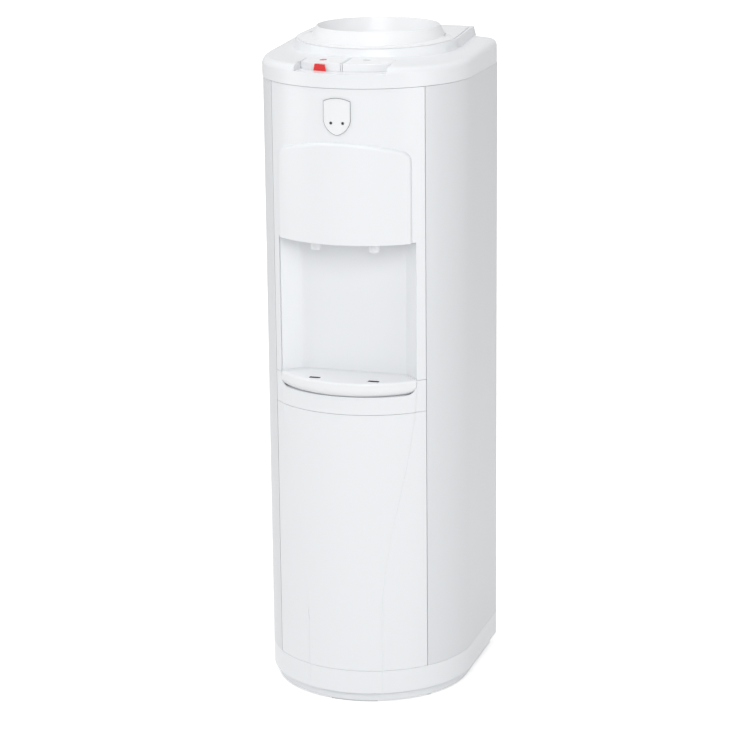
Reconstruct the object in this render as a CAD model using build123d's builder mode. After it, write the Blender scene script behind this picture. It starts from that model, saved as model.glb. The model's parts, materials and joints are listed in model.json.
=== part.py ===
from build123d import *
import os
from math import asin, atan, cos, degrees, radians, sin, sqrt, tan

# Free-standing hot and cold water cooler with the bottle on top.  Millimetres, +Z up.
# The front of the cabinet is half a cylinder about the Z axis, and the user stands at -Y.
# The origin is on the floor, under the centre of the cabinet.

os.makedirs("parts", exist_ok=True)

# ---------------------------------------------------------------- driving dimensions
body_radius = 155.0        # half the width, and the radius of the round front
body_back = 155.0          # back edge of the side panels
back_corner = 5.0          # corner radius at the back
seam = 0.6                 # visible joint between two panels
panel_wall = 2.5           # moulded front panels
sheet = 1.0                # steel side and rear panels
gap = 0.4                  # loose clearance between neighbouring pieces
seat_gap = 0.25            # clearance where a piece sits on another
run_gap = 0.05             # radial clearance of a pin in its hole

foot_height = 2.2          # the cabinet's plinth stands this far off the floor
skirt_bottom = 16.5        # lower edge of the base's outer skirt
base_top = 52.0            # joint between the base and the panels
tray_band_bottom = 448.5   # joint between the lower panel and the tray band
tray_band_top = 496.0      # joint between the tray band and the upper panel
hood_bottom = 701.0        # underside of the hood, and the alcove's ceiling
hood_side_top = 831.0      # the hood's straight sides end here
hood_top = 848.0           # crown of the hood
cover_bottom = 925.0       # joint between the panels and the top cover
front_half_width = body_radius - 40   # the front panels reach this far each side
return_depth = 14.0        # the panels' side edges turn in this far

hood_half_width = 99.5
hood_proud = 6.0           # the hood bulges past the panel
hood_corner = 16.0
hood_round = 5.0

alcove_half_width = 104.0  # mouth of the dispensing alcove
alcove_mouth = 42 - body_radius       # its slanted walls start here
alcove_corner = 9.0
alcove_back_half_width = 80.0
alcove_back = 67 - body_radius        # face of the alcove's back wall

field_height = 0.9         # the raised centre field of the lower front
field_foot = 56.5          # its half width at the base
field_head = 103.0         # and under the tray
field_flare_start = 120.0  # it widens from here up

cover_proud = 1.0          # the top cover stands out past the panels
cover_corner = 14.0
cover_wall = 2.5
deck_front = 957.0         # height of the deck over the buttons' front faces
deck_tilt = 2.7            # degrees, rising to the back
deck_crown_radius = 1320.0 # the deck falls a little to both sides
deck_round = 11.0          # the soft outer edge of the deck
ledge_height = 945.5       # shelf in front of the buttons

bottle_y = 48.0            # the bottle stands on this axis
turret_radius = 111.0      # raised seat behind the buttons
turret_height = 976.0      # it has that radius at this height
turret_slope = 0.8         # and its walls spread by this much for each mm down
turret_front_top = 970.0
turret_tilt = 1.9
collar_rim_radius = 92.0
collar_flange_radius = 104.5
collar_top = 990.5
collar_seat = 967.5
collar_flange = 2.6
collar_wall = 2.4
neck_radius = 31.0         # clear radius round the bottle's neck
collar_foot = 896.0        # the neck sleeve reaches down to here

collar_skirt_radius = 100.5 # foot of the collar's outer wall
collar_lip = 3.2           # thickness of its rounded rim
bowl_radius = 83.0         # the bowl inside the collar
bowl_round = 9.0
neck_mouth = 940.0         # the bowl runs into the neck sleeve here
probe_radius = 9.0
probe_bore = 6.5
probe_flange = 5.0
probe_length = 62.0
probe_window = 22.0

button_front = body_radius - 24      # radius of the buttons' front faces
button_inner = 1.7         # half of the space between the two buttons
button_outer = 66.2
button_back = 69 - body_radius
button_bottom = 939.0
button_wall = 2.0
button_gap = 0.7
button_travel = 4.0
button_round = 0.8
rod_radius = 3.5
frame_height = button_bottom - 28    # top of the plate that guides the push rods
frame_thick = 3.0
frame_depth = 30.0
boss_x = 74.0              # the guide plate hangs on two bosses under the cover
boss_radius = 4.5

lock_x = -32.5             # red child lock on the hot button's front
lock_height = 949.8
lock_width = 20.5
lock_tall = 10.4
lock_thick = 2.2
lock_lift = 0.9
lock_neck = 7.0
lock_neck_height = 4.0
lock_clear = 0.9
lock_travel = 3.0

spout_x = 44.0             # the two taps
spout_y = 30 - body_radius
spout_radius = 8.0
spout_bore = 5.0
spout_bottom = 685.5
spout_round = 2.0          # its lower edge

lever_arm = 14.0           # each side of the lever's pivot
lever_height = 757.0
lever_thick = 4.0
lever_width = 9.0
lost_motion = 1.2          # free play at each end of a lever
pin_radius = 1.5

tap_bottom = 706.5
tap_radius = 12.0
tap_top = 744.0
tap_wall = 2.5
chamber_radius = 9.0
valve_seat = 723.0
seal_radius = 7.0
seal_thick = 4.0
stem_radius = 2.5
stem_collar = 4.6
inlet_height = 733.0
inlet_radius = 4.2
inlet_bore = 2.8
inlet_end = spout_y + 21
lever_end = 4.0            # how far a lever runs past its working points
lever_hub = 4.2
bracket_thick = 2.4

shield_half_width = 19.5   # shield-shaped indicator plate
shield_top = 911.0
shield_corner = 906.5
shield_waist = 880.0
shield_tip = 859.0
shield_rim = 1.5
shield_lift = 0.25
shield_thick = 0.9
shield_border = 0.5
led_x = 8.8
led_height = 876.0
led_radius = 2.0
board_face = body_radius - 7         # the lights' circuit board stands here behind the panel
board_height = 876.0
board_boss_x = 16.0
board_boss_drop = 8.0

tray_proud = 6.0           # the drip tray's rim stands out past the front
tray_bottom = 475.0
tray_top = 497.0
tray_wall = 2.2
tray_round = 12.0          # its lower front edge
tray_rim_round = 3.0       # and the upper one
tray_end_round = 15.0      # its lower corners, seen from the front
tray_rim = 1.2             # wall left beside the tray plate
tray_plate_drop = 0.3      # the tray plate lies below the rim
tray_plate_thick = 2.0
tray_slot_x = 45.0
tray_slot_y = 18 - body_radius
tray_slot = (17.0, 8.0)

tank_radius = 60.0         # cold tank
tank_bottom = 700.0
tank_top = 905.0
tank_wall = 1.2
foam = 24.0                # thickness of the foam round the cold tank
hot_radius = 50.0
hot_bottom = 505.0
hot_top = 650.0
hot_y = 40.0
jacket = 11.0
band_thick = 3.6           # heater band round the hot tank
band_height = 40.0
tank_mouth = 36.3          # open neck of the cold tank, round the collar's sleeve
tank_neck = 6.0
baffle_height = 790.0
feed_radius = 6.0
coil_tube = 3.0            # evaporator, wound on the cold tank
coil_bottom = 760.0
coil_top = 860.0
foam_lid = 12.0
cold_outlet_x = 30.0
cold_outlet_height = 712.0
hose_radius = 5.0
hose_bend = 14.0
shelf_front = -50.0
shelf_back = 134.0
shelf_turn = 14.0

rear_y = 136.0             # inner face of the rear panel
rear_flange = 15.0         # the side panels' flanges that it is screwed to
rear_reach = body_radius + tray_proud   # the spacers reach as far back as the tray does forward
vent_height = 145.0
vent_columns = 2
vent_rows = 8
vent_pitch_x = 90.0
vent_pitch_z = 14.0
vent_length = 60.0
vent_width = 5.0
switch_x = 94.0            # middle of the pair
switch_pitch = 28.0
switch_height = 880.0
switch_width = 15.0
switch_tall = 22.0
switch_rim = 1.5
switch_depth = 14.0
rocker_half = 9.0
gland_x = -60.0
gland_height = 235.0
gland_radius = 8.0
gland_bore = 4.0
drain_height = 300.0
drain_radius = 7.0
drain_bore = 4.5
drain_reach = 14.0
thermostat_x = 70.0
thermostat_height = 600.0
thermostat_case = (34.0, 42.0)
thermostat_depth = 24.0
shaft_radius = 3.0
screw_heights = (80.0, 330.0, 620.0, 900.0)
screw_head = 3.5
screw_head_height = 2.0
screw_shank = 1.6

condenser_stand = 14.0     # from the rear panel to the middle of the tube
condenser_tube = 2.5
condenser_overlap = 15.0   # the wires run past the tube at both ends
condenser_tail = 14.0      # its lower end turns down to meet the compressor's line
condenser_bottom = drain_height + 40
condenser_top = 826.0
condenser_passes = 9
condenser_half_width = 110.0
condenser_pipe_x = 125.0   # its ends turn into the cabinet here
pipe_inset = 20.0          # and run this far in front of the rear panel
spacer_x = 63.0
spacer_size = (10.0, 26.0)
wire_count = 15
wire_reach = 98.0
wire_radius = 0.8
wire_gap = 0.1
drier_radius = 8.0
drier_bottom = 730.0
drier_top = 790.0
drier_neck = 8.0

compressor_y = 45.0
compressor_radius = 66.0
compressor_top = 187.0
weld_height = 112.0
rail_height = 33.0
rail_thick = 3.0
mount_x = 58.0
mount_y = 50.0
grommet_radius = 9.0
grommet_neck = 5.0
discharge_x = 45.0
discharge_height = 100.0
suction_radius = 3.0
suction_low = 150.0
line_bend = 16.0           # inside the cabinet the pipes turn this gently
cutout_x = 28.0

base_wall = 2.8
plinth_inset = 8.0         # the plinth stands back from the skirt
plinth_width = 16.0
front_foot_x = 11.0        # the front foot strip is off centre
front_foot_width = 70.0
foot_radius = 6.0
front_foot_angle = 52.0


# ---------------------------------------------------------------- worked out from these
tray_plate_bottom = tray_top - tray_plate_drop - tray_plate_thick
probe_top = collar_foot + probe_length
tray_tip_depth = sqrt(body_radius ** 2 - alcove_half_width ** 2)
tray_sagitta = body_radius + tray_proud - tray_tip_depth
tray_arc_radius = (alcove_half_width ** 2 + tray_sagitta ** 2) / (2 * tray_sagitta)
tray_arc_y = tray_arc_radius - body_radius - tray_proud


# ---------------------------------------------------------------- shared forms
def plan(radius, back, corner=back_corner):
    """Half circle in front, straight sides, square back."""
    with BuildSketch() as outline:
        with BuildLine():
            ThreePointArc((-radius, 0), (0, -radius), (radius, 0))
            Polyline((radius, 0), (radius, back), (-radius, back), (-radius, 0))
        make_face()
        fillet(outline.vertices().group_by(Axis.Y)[-1], corner)
    return outline.sketch


def front_sector(outer, inner, half_width):
    """The part of a ring round the Z axis that faces the user."""
    with BuildSketch() as sector:
        Circle(outer)
        Circle(inner, mode=Mode.SUBTRACT)
        with Locations((0, -outer / 2)):
            Rectangle(2 * half_width, outer, mode=Mode.INTERSECT)
    return sector.sketch


def raised_plane(height, y, tilt):
    """A plane that passes height at y and rises to the back."""
    return Plane(origin=(0, y, height), x_dir=(1, 0, 0), z_dir=(0, -sin(radians(tilt)), cos(radians(tilt))))


def save(part, name):
    part.label = name
    export_step(part, f"parts/{name}.step")


turret_plane = raised_plane(turret_front_top, bottle_y - turret_radius, turret_tilt)


def above_deck(inset):
    """Everything over the crowned deck, which rises to the back."""
    tilt = radians(deck_tilt)
    half = body_radius + 40
    start_height = deck_front - (half - button_front) * tan(tilt)
    deck_start = Plane(origin=(0, -half, start_height), x_dir=(1, 0, 0), z_dir=(0, cos(tilt), sin(tilt)))
    sag = deck_crown_radius - inset - sqrt((deck_crown_radius - inset) ** 2 - half ** 2)
    with BuildPart() as above:
        with BuildSketch(deck_start):
            with BuildLine():
                ThreePointArc((-half, inset + sag), (0, inset), (half, inset + sag))
                Polyline((half, inset + sag), (half, -half), (-half, -half), (-half, inset + sag))
            make_face()
        extrude(amount=3 * body_radius)
    return above.part


def cover_block(inset):
    """The top cover's outer form, or its hollow when inset by the wall."""
    radius = body_radius + cover_proud - inset
    back = body_back + cover_proud - inset
    with BuildPart() as block:
        with BuildSketch(Plane.XY.offset(cover_bottom + seam / 2)):
            add(plan(radius, back, cover_corner - inset))
        extrude(amount=60)
        add(above_deck(inset), mode=Mode.SUBTRACT)
        fillet(block.faces().sort_by(Axis.Z)[-1].edges(), deck_round - inset)
    return block.part


def turret_block(inset):
    """The raised seat: sloping walls, round in front and straight to the back."""
    spread = (turret_height - ledge_height) * turret_slope
    foot = turret_radius + spread - inset * sqrt(1 + turret_slope ** 2)
    with BuildPart() as block:
        with BuildSketch(Plane.XY.offset(ledge_height)):
            with BuildLine():
                ThreePointArc((-foot, bottle_y), (0, bottle_y - foot), (foot, bottle_y))
                Polyline((foot, bottle_y), (foot, 2 * body_back), (-foot, 2 * body_back), (-foot, bottle_y))
            make_face()
        extrude(amount=turret_height - ledge_height + 10, taper=degrees(atan(turret_slope)))
        split(bisect_by=turret_plane.offset(-inset), keep=Keep.BOTTOM)
        split(bisect_by=Plane.XZ.offset(inset - body_back), keep=Keep.TOP)
    return block.part


def button_pocket(clearance):
    """Plan of the cold button, or of its pocket with the clearance added."""
    with BuildSketch() as pocket:
        Circle(button_front + clearance)
        left = button_inner - clearance
        right = button_outer + clearance
        back = button_back + clearance
        with Locations(((left + right) / 2, back - button_front / 2)):
            Rectangle(right - left, button_front, mode=Mode.INTERSECT)
    return pocket.sketch


lever_y = spout_y + lever_arm            # pivot
rod_y = lever_y + lever_arm
rod_tip = lever_height + lever_thick / 2 + lost_motion
lock_angle = degrees(asin(lock_x / button_front))
lock_plane = Plane(origin=(lock_x, -sqrt(button_front ** 2 - lock_x ** 2), lock_height),
                   x_dir=(cos(radians(lock_angle)), sin(radians(lock_angle)), 0),
                   z_dir=(sin(radians(lock_angle)), -cos(radians(lock_angle)), 0))


# ---------------------------------------------------------------- top cover
ledge_half_width = button_outer + button_gap + 2
with BuildPart() as top_cover:
    add(cover_block(0))
    with BuildSketch(Plane.XY.offset(ledge_height)):
        add(front_sector(body_radius + 10, button_front + button_gap, ledge_half_width))
    extrude(amount=40, mode=Mode.SUBTRACT)
    with BuildPart(mode=Mode.PRIVATE) as hollow:
        add(cover_block(cover_wall))
        with BuildSketch(Plane.XY.offset(ledge_height - cover_wall)):
            add(front_sector(body_radius + 10, button_front - cover_wall, ledge_half_width + cover_wall))
        extrude(amount=40, mode=Mode.SUBTRACT)
    add(hollow.part, mode=Mode.SUBTRACT)
    with BuildPart(mode=Mode.PRIVATE) as turret:
        add(turret_block(0))
        add(above_deck(cover_wall / 2), mode=Mode.INTERSECT)
    add(turret.part)
    add(turret_block(cover_wall), mode=Mode.SUBTRACT)
    with BuildPart(mode=Mode.PRIVATE) as collar_well:
        with BuildSketch(Plane.XY.offset(collar_seat - cover_wall)):
            with Locations((0, bottle_y)):
                Circle(collar_flange_radius + gap + cover_wall)
        extrude(amount=40)
        add(turret_block(0), mode=Mode.INTERSECT)
    add(collar_well.part)
    with BuildSketch(Plane.XY.offset(collar_seat)):
        with Locations((0, bottle_y)):
            Circle(collar_flange_radius + gap)
    extrude(amount=40, mode=Mode.SUBTRACT)
    with BuildSketch(Plane.XY.offset(cover_bottom)):
        with Locations((0, bottle_y)):
            Circle(collar_rim_radius - 2)
    extrude(amount=60, mode=Mode.SUBTRACT)
    with BuildSketch(Plane.XY.offset(ledge_height - 20)):
        add(button_pocket(button_gap))
        mirror(button_pocket(button_gap), about=Plane.YZ)
    extrude(amount=60, mode=Mode.SUBTRACT)
    with BuildSketch(lock_plane):
        Rectangle(lock_width + 2 * lock_travel + 2 * gap, 2 * lock_tall)
    extrude(amount=lock_lift + lock_thick + gap, both=True, mode=Mode.SUBTRACT)
    with BuildSketch(Plane.XY.offset(frame_height)):
        with Locations((-boss_x, rod_y), (boss_x, rod_y)):
            Circle(boss_radius)
    extrude(amount=deck_front - cover_wall / 2 - frame_height)
save(top_cover.part, "top_cover")


# ---------------------------------------------------------------- more shared forms
bottle_axis = Axis((0, bottle_y, 0), (0, 0, 1))
bottle_section = Plane.XZ.offset(-bottle_y)      # local X is the radius, local Y is the height
inner_radius = body_radius - panel_wall


def front_band(bottom, top):
    """A front panel between two heights, with a return along each side."""
    half = front_half_width - seam / 2
    with BuildPart() as band:
        with BuildSketch(Plane.XY.offset(bottom)):
            add(front_sector(body_radius, inner_radius, half))
            with BuildSketch(mode=Mode.PRIVATE) as returns:
                with Locations(*[(side * (half - panel_wall / 2), -body_radius / 2) for side in (-1, 1)]):
                    Rectangle(panel_wall, body_radius)
                Circle(body_radius - 1, mode=Mode.INTERSECT)
                Circle(body_radius - return_depth, mode=Mode.SUBTRACT)
            add(returns.sketch)
        extrude(amount=top - bottom)
    return band.part


def field_relief(bottom, top):
    """The raised centre field: straight at the foot, then flaring to the width of the tray."""
    with BuildPart() as relief:
        with BuildSketch(Plane.XY.offset(bottom)):
            Circle(body_radius + field_height)
            Circle(body_radius - 1, mode=Mode.SUBTRACT)
        extrude(amount=top - bottom)
        with BuildSketch(Plane.XZ):
            with BuildLine():
                Spline((field_foot, field_flare_start), (field_head, tray_band_top),
                       tangents=[(0, 1), (0, 1)])
                Line((field_head, tray_band_top), (0, tray_band_top))
                Line((0, tray_band_top), (0, 0))
                Polyline((0, 0), (field_foot, 0), (field_foot, field_flare_start))
            make_face()
            mirror(about=Plane.YZ)
        extrude(amount=2 * body_radius, mode=Mode.INTERSECT)
    return relief.part


def pipe(points, radius, bends):
    """A round tube along straight runs joined by arcs."""
    with BuildPart() as tube:
        with BuildLine() as route:
            FilletPolyline(*points, radius=bends)
        start = route.wires()[0]
        with BuildSketch(Plane(origin=start @ 0, z_dir=start % 0)):
            Circle(radius)
        sweep(path=start)
    return tube.part


# ---------------------------------------------------------------- bottle collar and feed probe
with BuildPart() as bottle_collar:
    with BuildSketch(bottle_section):
        with BuildLine():
            lip = collar_rim_radius - collar_lip
            lip_height = collar_top - collar_lip / 2
            flange_top = collar_seat + collar_flange
            Polyline((collar_flange_radius, collar_seat), (collar_flange_radius, flange_top),
                     (collar_skirt_radius, flange_top), (collar_rim_radius, lip_height))
            ThreePointArc((collar_rim_radius, lip_height), (collar_rim_radius - collar_lip / 2, collar_top),
                          (lip, lip_height))
            Polyline((lip, lip_height), (bowl_radius, collar_seat), (neck_radius, neck_mouth),
                     (neck_radius, collar_foot + collar_wall),
                     (probe_radius + gap, collar_foot + collar_wall), (probe_radius + gap, collar_foot),
                     (neck_radius + collar_wall, collar_foot),
                     (neck_radius + collar_wall, neck_mouth - collar_wall / 2),
                     (bowl_radius + collar_wall, collar_seat - collar_wall / 2),
                     (bowl_radius + collar_wall, collar_seat), (collar_flange_radius, collar_seat))
        make_face()
    revolve(axis=bottle_axis)
    fillet(bottle_collar.edges().filter_by(GeomType.CIRCLE).filter_by(
        lambda e: abs(e.radius - bowl_radius) < 0.1), bowl_round)
save(bottle_collar.part, "bottle_collar")

with BuildPart() as feed_probe:
    with BuildSketch(bottle_section):
        with BuildLine():
            Polyline((probe_bore, collar_foot), (probe_radius, collar_foot),
                     (probe_radius, collar_foot + collar_wall + seat_gap),
                     (probe_radius + probe_flange, collar_foot + collar_wall + seat_gap),
                     (probe_radius + probe_flange, collar_foot + 2 * collar_wall),
                     (probe_radius, collar_foot + 2 * collar_wall), (probe_radius, probe_top - probe_radius))
            RadiusArc((probe_radius, probe_top - probe_radius), (0, probe_top), -probe_radius)
            bore_top = probe_top - probe_radius - 2
            Polyline((0, probe_top), (0, bore_top), (probe_bore, bore_top), (probe_bore, collar_foot))
        make_face()
    revolve(axis=bottle_axis)
    with BuildSketch(Plane.XZ.offset(-bottle_y)):
        with Locations((0, probe_top - probe_window)):
            SlotOverall(probe_window, probe_bore, rotation=90)
    extrude(amount=2 * probe_radius, both=True, mode=Mode.SUBTRACT)
    with BuildSketch(Plane.YZ):
        with Locations((bottle_y, probe_top - probe_window)):
            SlotOverall(probe_window, probe_bore, rotation=90)
    extrude(amount=2 * probe_radius, both=True, mode=Mode.SUBTRACT)
save(feed_probe.part, "feed_probe")


# ---------------------------------------------------------------- push buttons
def button_block(inset):
    """A button's outer form, or its hollow: top on the deck, front on its own radius."""
    with BuildPart() as block:
        with BuildSketch(Plane.XY.offset(button_bottom)):
            add(button_pocket(-inset))
        extrude(amount=60)
        add(above_deck(inset), mode=Mode.SUBTRACT)
    return block.part


def button():
    """The cold button: a cap open below, with a push rod down to the tap's lever."""
    with BuildPart() as cap:
        add(button_block(0))
        top_edges = cap.faces().sort_by(Axis.Z)[-1].edges()
        fillet(top_edges, button_round)
        add(button_block(button_wall), mode=Mode.SUBTRACT)
        with BuildSketch(Plane.XY.offset(button_bottom - 0.5)):
            add(button_pocket(-button_wall))
        extrude(amount=1, mode=Mode.SUBTRACT)
        with BuildSketch(Plane.XY.offset(rod_tip)):
            with Locations((spout_x, rod_y)):
                Circle(rod_radius)
        extrude(amount=deck_front - button_wall / 2 - rod_tip)
    return cap.part


with BuildPart() as cold_button:
    add(button())
save(cold_button.part, "cold_button")

with BuildPart() as hot_button:
    mirror(cold_button.part, about=Plane.YZ)
    with BuildSketch(lock_plane.offset(4)):
        Rectangle(lock_neck + 2 * lock_travel + 2 * gap, lock_neck_height + 2 * gap)
    extrude(amount=-8, mode=Mode.SUBTRACT)
save(hot_button.part, "hot_button")

with BuildPart() as child_lock:
    with BuildSketch(lock_plane.offset(lock_lift)):
        Trapezoid(lock_width, lock_tall, 78)
    extrude(amount=lock_thick)
    with BuildSketch(lock_plane.offset(lock_lift)):
        Rectangle(lock_neck, lock_neck_height)
    extrude(amount=-(lock_lift + button_wall + lock_clear))
    with BuildSketch(lock_plane.offset(-button_wall - lock_clear)):
        Rectangle(lock_width / 2, lock_neck_height + 2)
    extrude(amount=-lock_thick / 2)
    fillet(child_lock.faces().sort_by(Axis.Y)[0].edges(), 0.6)
save(child_lock.part, "child_lock")

with BuildPart() as button_frame:
    with BuildSketch(Plane.XY.offset(frame_height - frame_thick)):
        with Locations((0, rod_y)):
            RectangleRounded(2 * (boss_x + boss_radius), frame_depth, boss_radius - 0.5)
        with Locations((-spout_x, rod_y), (spout_x, rod_y)):
            Circle(rod_radius + run_gap, mode=Mode.SUBTRACT)
    extrude(amount=frame_thick)
save(button_frame.part, "button_frame")


# ---------------------------------------------------------------- taps, worked by the buttons through levers
def tap_body():
    """The cold tap: a valve chamber with its nozzle below and its inlet stub behind."""
    with BuildPart() as body:
        with BuildSketch(Plane.XZ.offset(-spout_y)):
            with BuildLine():
                Line((spout_bore, spout_bottom), (spout_radius - spout_round, spout_bottom))
                RadiusArc((spout_radius - spout_round, spout_bottom),
                          (spout_radius, spout_bottom + spout_round), -spout_round)
                Polyline((spout_radius, spout_bottom + spout_round), (spout_radius, tap_bottom),
                         (tap_radius, tap_bottom), (tap_radius, tap_top), (stem_radius + run_gap, tap_top),
                         (stem_radius + run_gap, tap_top - tap_wall), (chamber_radius, tap_top - tap_wall),
                         (chamber_radius, valve_seat), (spout_bore, valve_seat), (spout_bore, spout_bottom))
            make_face()
        revolve(axis=Axis((0, spout_y, 0), (0, 0, 1)))
        with BuildSketch(Plane.XZ.offset(-inlet_end)):
            with Locations((0, inlet_height)):
                Circle(inlet_radius)
        extrude(amount=inlet_end - spout_y - chamber_radius - 1)
        with BuildSketch(Plane.XZ.offset(-inlet_end)):
            with Locations((0, inlet_height)):
                Circle(inlet_bore)
        extrude(amount=inlet_end - spout_y, mode=Mode.SUBTRACT)
        with BuildSketch(Plane.XY.offset(valve_seat)):
            with Locations((0, spout_y)):
                Circle(chamber_radius)
        extrude(amount=tap_top - tap_wall - valve_seat, mode=Mode.SUBTRACT)
    return body.part


def tap_plunger():
    """The stem that lifts off the valve seat, with a collar for the lever."""
    with BuildPart() as plunger:
        with BuildSketch(Plane.XZ.offset(-spout_y)):
            with BuildLine():
                Polyline((0, valve_seat + seat_gap), (seal_radius, valve_seat + seat_gap),
                         (seal_radius, valve_seat + seal_thick), (stem_radius, valve_seat + seal_thick),
                         (stem_radius, rod_tip), (stem_collar, rod_tip), (stem_collar, rod_tip + 2.8),
                         (0, rod_tip + 2.8), (0, valve_seat + seat_gap))
            make_face()
        revolve(axis=Axis((0, spout_y, 0), (0, 0, 1)))
    return plunger.part


def tap_spring():
    """The spring that keeps the valve shut, as the sleeve that it fills."""
    with BuildPart() as spring:
        with BuildSketch(Plane.XY.offset(valve_seat + seal_thick)):
            with Locations((0, spout_y)):
                Circle(stem_radius + 2.4)
                Circle(stem_radius + 0.7, mode=Mode.SUBTRACT)
        extrude(amount=tap_top - tap_wall - valve_seat - seal_thick)
    return spring.part


def tap_lever():
    """Forked in front round the stem, flat behind under the push rod."""
    with BuildPart() as lever:
        with BuildSketch(Plane.XY.offset(lever_height - lever_thick / 2)):
            with Locations((0, lever_y)):
                RectangleRounded(lever_width, 2 * (lever_arm + lever_end), 2)
            with Locations((0, spout_y - lever_end)):
                Rectangle(2 * stem_radius + 1.2, 2 * (lever_end + stem_radius + 1.1), mode=Mode.SUBTRACT)
        extrude(amount=lever_thick)
        with BuildSketch(Plane.YZ.offset(-lever_width / 2)):
            with Locations((lever_y, lever_height)):
                Circle(lever_hub)
        extrude(amount=lever_width)
        with BuildSketch(Plane.YZ.offset(-lever_width)):
            with Locations((lever_y, lever_height)):
                Circle(pin_radius + run_gap)
        extrude(amount=2 * lever_width, mode=Mode.SUBTRACT)
    return lever.part


spring_reach = rod_radius + 2.6
spring_rise = (button_front + rod_y - spring_reach) * tan(radians(deck_tilt))
spring_fall = (spout_x + spring_reach) ** 2 / (2 * deck_crown_radius)
spring_top = deck_front - button_wall - seat_gap + spring_rise - spring_fall


def button_spring():
    """The return spring round a push rod, as the sleeve that it fills."""
    with BuildPart() as spring:
        with BuildSketch(Plane.XY.offset(frame_height)):
            with Locations((0, rod_y)):
                Circle(spring_reach)
                Circle(rod_radius + 0.6, mode=Mode.SUBTRACT)
        extrude(amount=spring_top - frame_height)
    return spring.part


with BuildPart() as tap_bodies:
    with Locations((-spout_x, 0), (spout_x, 0)):
        add(tap_body())
save(tap_bodies.part, "tap_bodies")

for side_name, side in (("hot", -1), ("cold", 1)):
    for kind, maker in (("tap_plunger", tap_plunger), ("tap_spring", tap_spring),
                        ("tap_lever", tap_lever), ("button_spring", button_spring)):
        with BuildPart() as tap_piece:
            with Locations((side * spout_x, 0)):
                add(maker())
        save(tap_piece.part, f"{side_name}_{kind}")

ear_offset = lever_width / 2 + gap
with BuildPart() as tap_bracket:
    with BuildSketch(Plane.XY.offset(tap_bottom - seat_gap - bracket_thick)):
        with Locations((0, (spout_y + lever_y) / 2)):
            RectangleRounded(2 * (spout_x + tap_radius + 3), 2 * tap_radius + 12, 4)
        with Locations((-spout_x, spout_y), (spout_x, spout_y)):
            Circle(spout_radius + gap, mode=Mode.SUBTRACT)
    extrude(amount=bracket_thick)
    ears = [(side * spout_x + edge * (ear_offset + bracket_thick / 2), lever_y + 1.5)
            for side in (-1, 1) for edge in (-1, 1)]
    with BuildSketch(Plane.XY.offset(tap_bottom - seat_gap)):
        with Locations(*ears):
            Rectangle(bracket_thick, 8)
    extrude(amount=lever_height + 4 - tap_bottom)
    with BuildSketch(Plane.YZ.offset(-spout_x - ear_offset - bracket_thick)):
        with Locations((lever_y, lever_height)):
            Circle(pin_radius)
    extrude(amount=2 * (ear_offset + bracket_thick))
    with BuildSketch(Plane.YZ.offset(spout_x - ear_offset - bracket_thick)):
        with Locations((lever_y, lever_height)):
            Circle(pin_radius)
    extrude(amount=2 * (ear_offset + bracket_thick))
save(tap_bracket.part, "tap_bracket")


# ---------------------------------------------------------------- front panels
def hood_block(inset):
    """The hood over the alcove stands proud of the panel, with an arched top."""
    half = hood_half_width - inset
    with BuildPart() as block:
        with BuildSketch(Plane.XY.offset(hood_bottom)):
            Circle(body_radius + hood_proud - inset)
            Circle(inner_radius - 6, mode=Mode.SUBTRACT)
        extrude(amount=hood_top - hood_bottom)
        with BuildSketch(Plane.XZ) as face:
            with BuildLine():
                Polyline((-half, hood_side_top), (-half, hood_bottom - 1), (half, hood_bottom - 1),
                         (half, hood_side_top))
                ThreePointArc((half, hood_side_top), (0, hood_top - inset), (-half, hood_side_top))
            make_face()
            fillet(face.vertices().group_by(Axis.Y)[-1], hood_corner - inset)
        extrude(amount=2 * body_radius, mode=Mode.INTERSECT)
    return block.part


with BuildPart() as hood:
    add(hood_block(0))
    hood_front = hood.faces().filter_by(GeomType.CYLINDER).sort_by(Axis.Y)[0]
    fillet(hood_front.edges().filter_by(Axis.Z), hood_round)   # runs on round the arch

with BuildPart() as upper_front_panel:
    add(front_band(tray_band_top + seam / 2, cover_bottom - seam / 2))
    with BuildSketch(Plane.XZ.offset(board_face)):
        with Locations((0, led_height)):
            Rectangle(2 * (led_x + led_radius + 2), 2 * led_radius + 4)
    extrude(amount=20, mode=Mode.SUBTRACT)
    add(hood.part)
    add(hood_block(panel_wall), mode=Mode.SUBTRACT)
    with BuildSketch(Plane.XY.offset(tray_band_top - 1)):
        add(front_sector(body_radius + 20, inner_radius - 20, alcove_half_width))
    extrude(amount=hood_bottom - tray_band_top + 1, mode=Mode.SUBTRACT)
    with BuildSketch(Plane.XY.offset(hood_bottom - 5)):
        add(front_sector(inner_radius, 10, front_half_width - seam / 2 - panel_wall))
    extrude(amount=hood_top - hood_bottom, mode=Mode.SUBTRACT)
save(upper_front_panel.part, "upper_front_panel")

def tray_front_view(inset):
    """The drip tray seen from the front: its lower corners are rounded."""
    half = alcove_half_width - inset
    with BuildSketch(Plane.XZ) as view:
        with BuildLine():
            Polyline((-half, tray_top + 10), (-half, tray_bottom), (half, tray_bottom),
                     (half, tray_top + 10), (-half, tray_top + 10))
        make_face()
        fillet(view.vertices().group_by(Axis.Z)[0], tray_end_round - inset)
    return view.sketch


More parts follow.
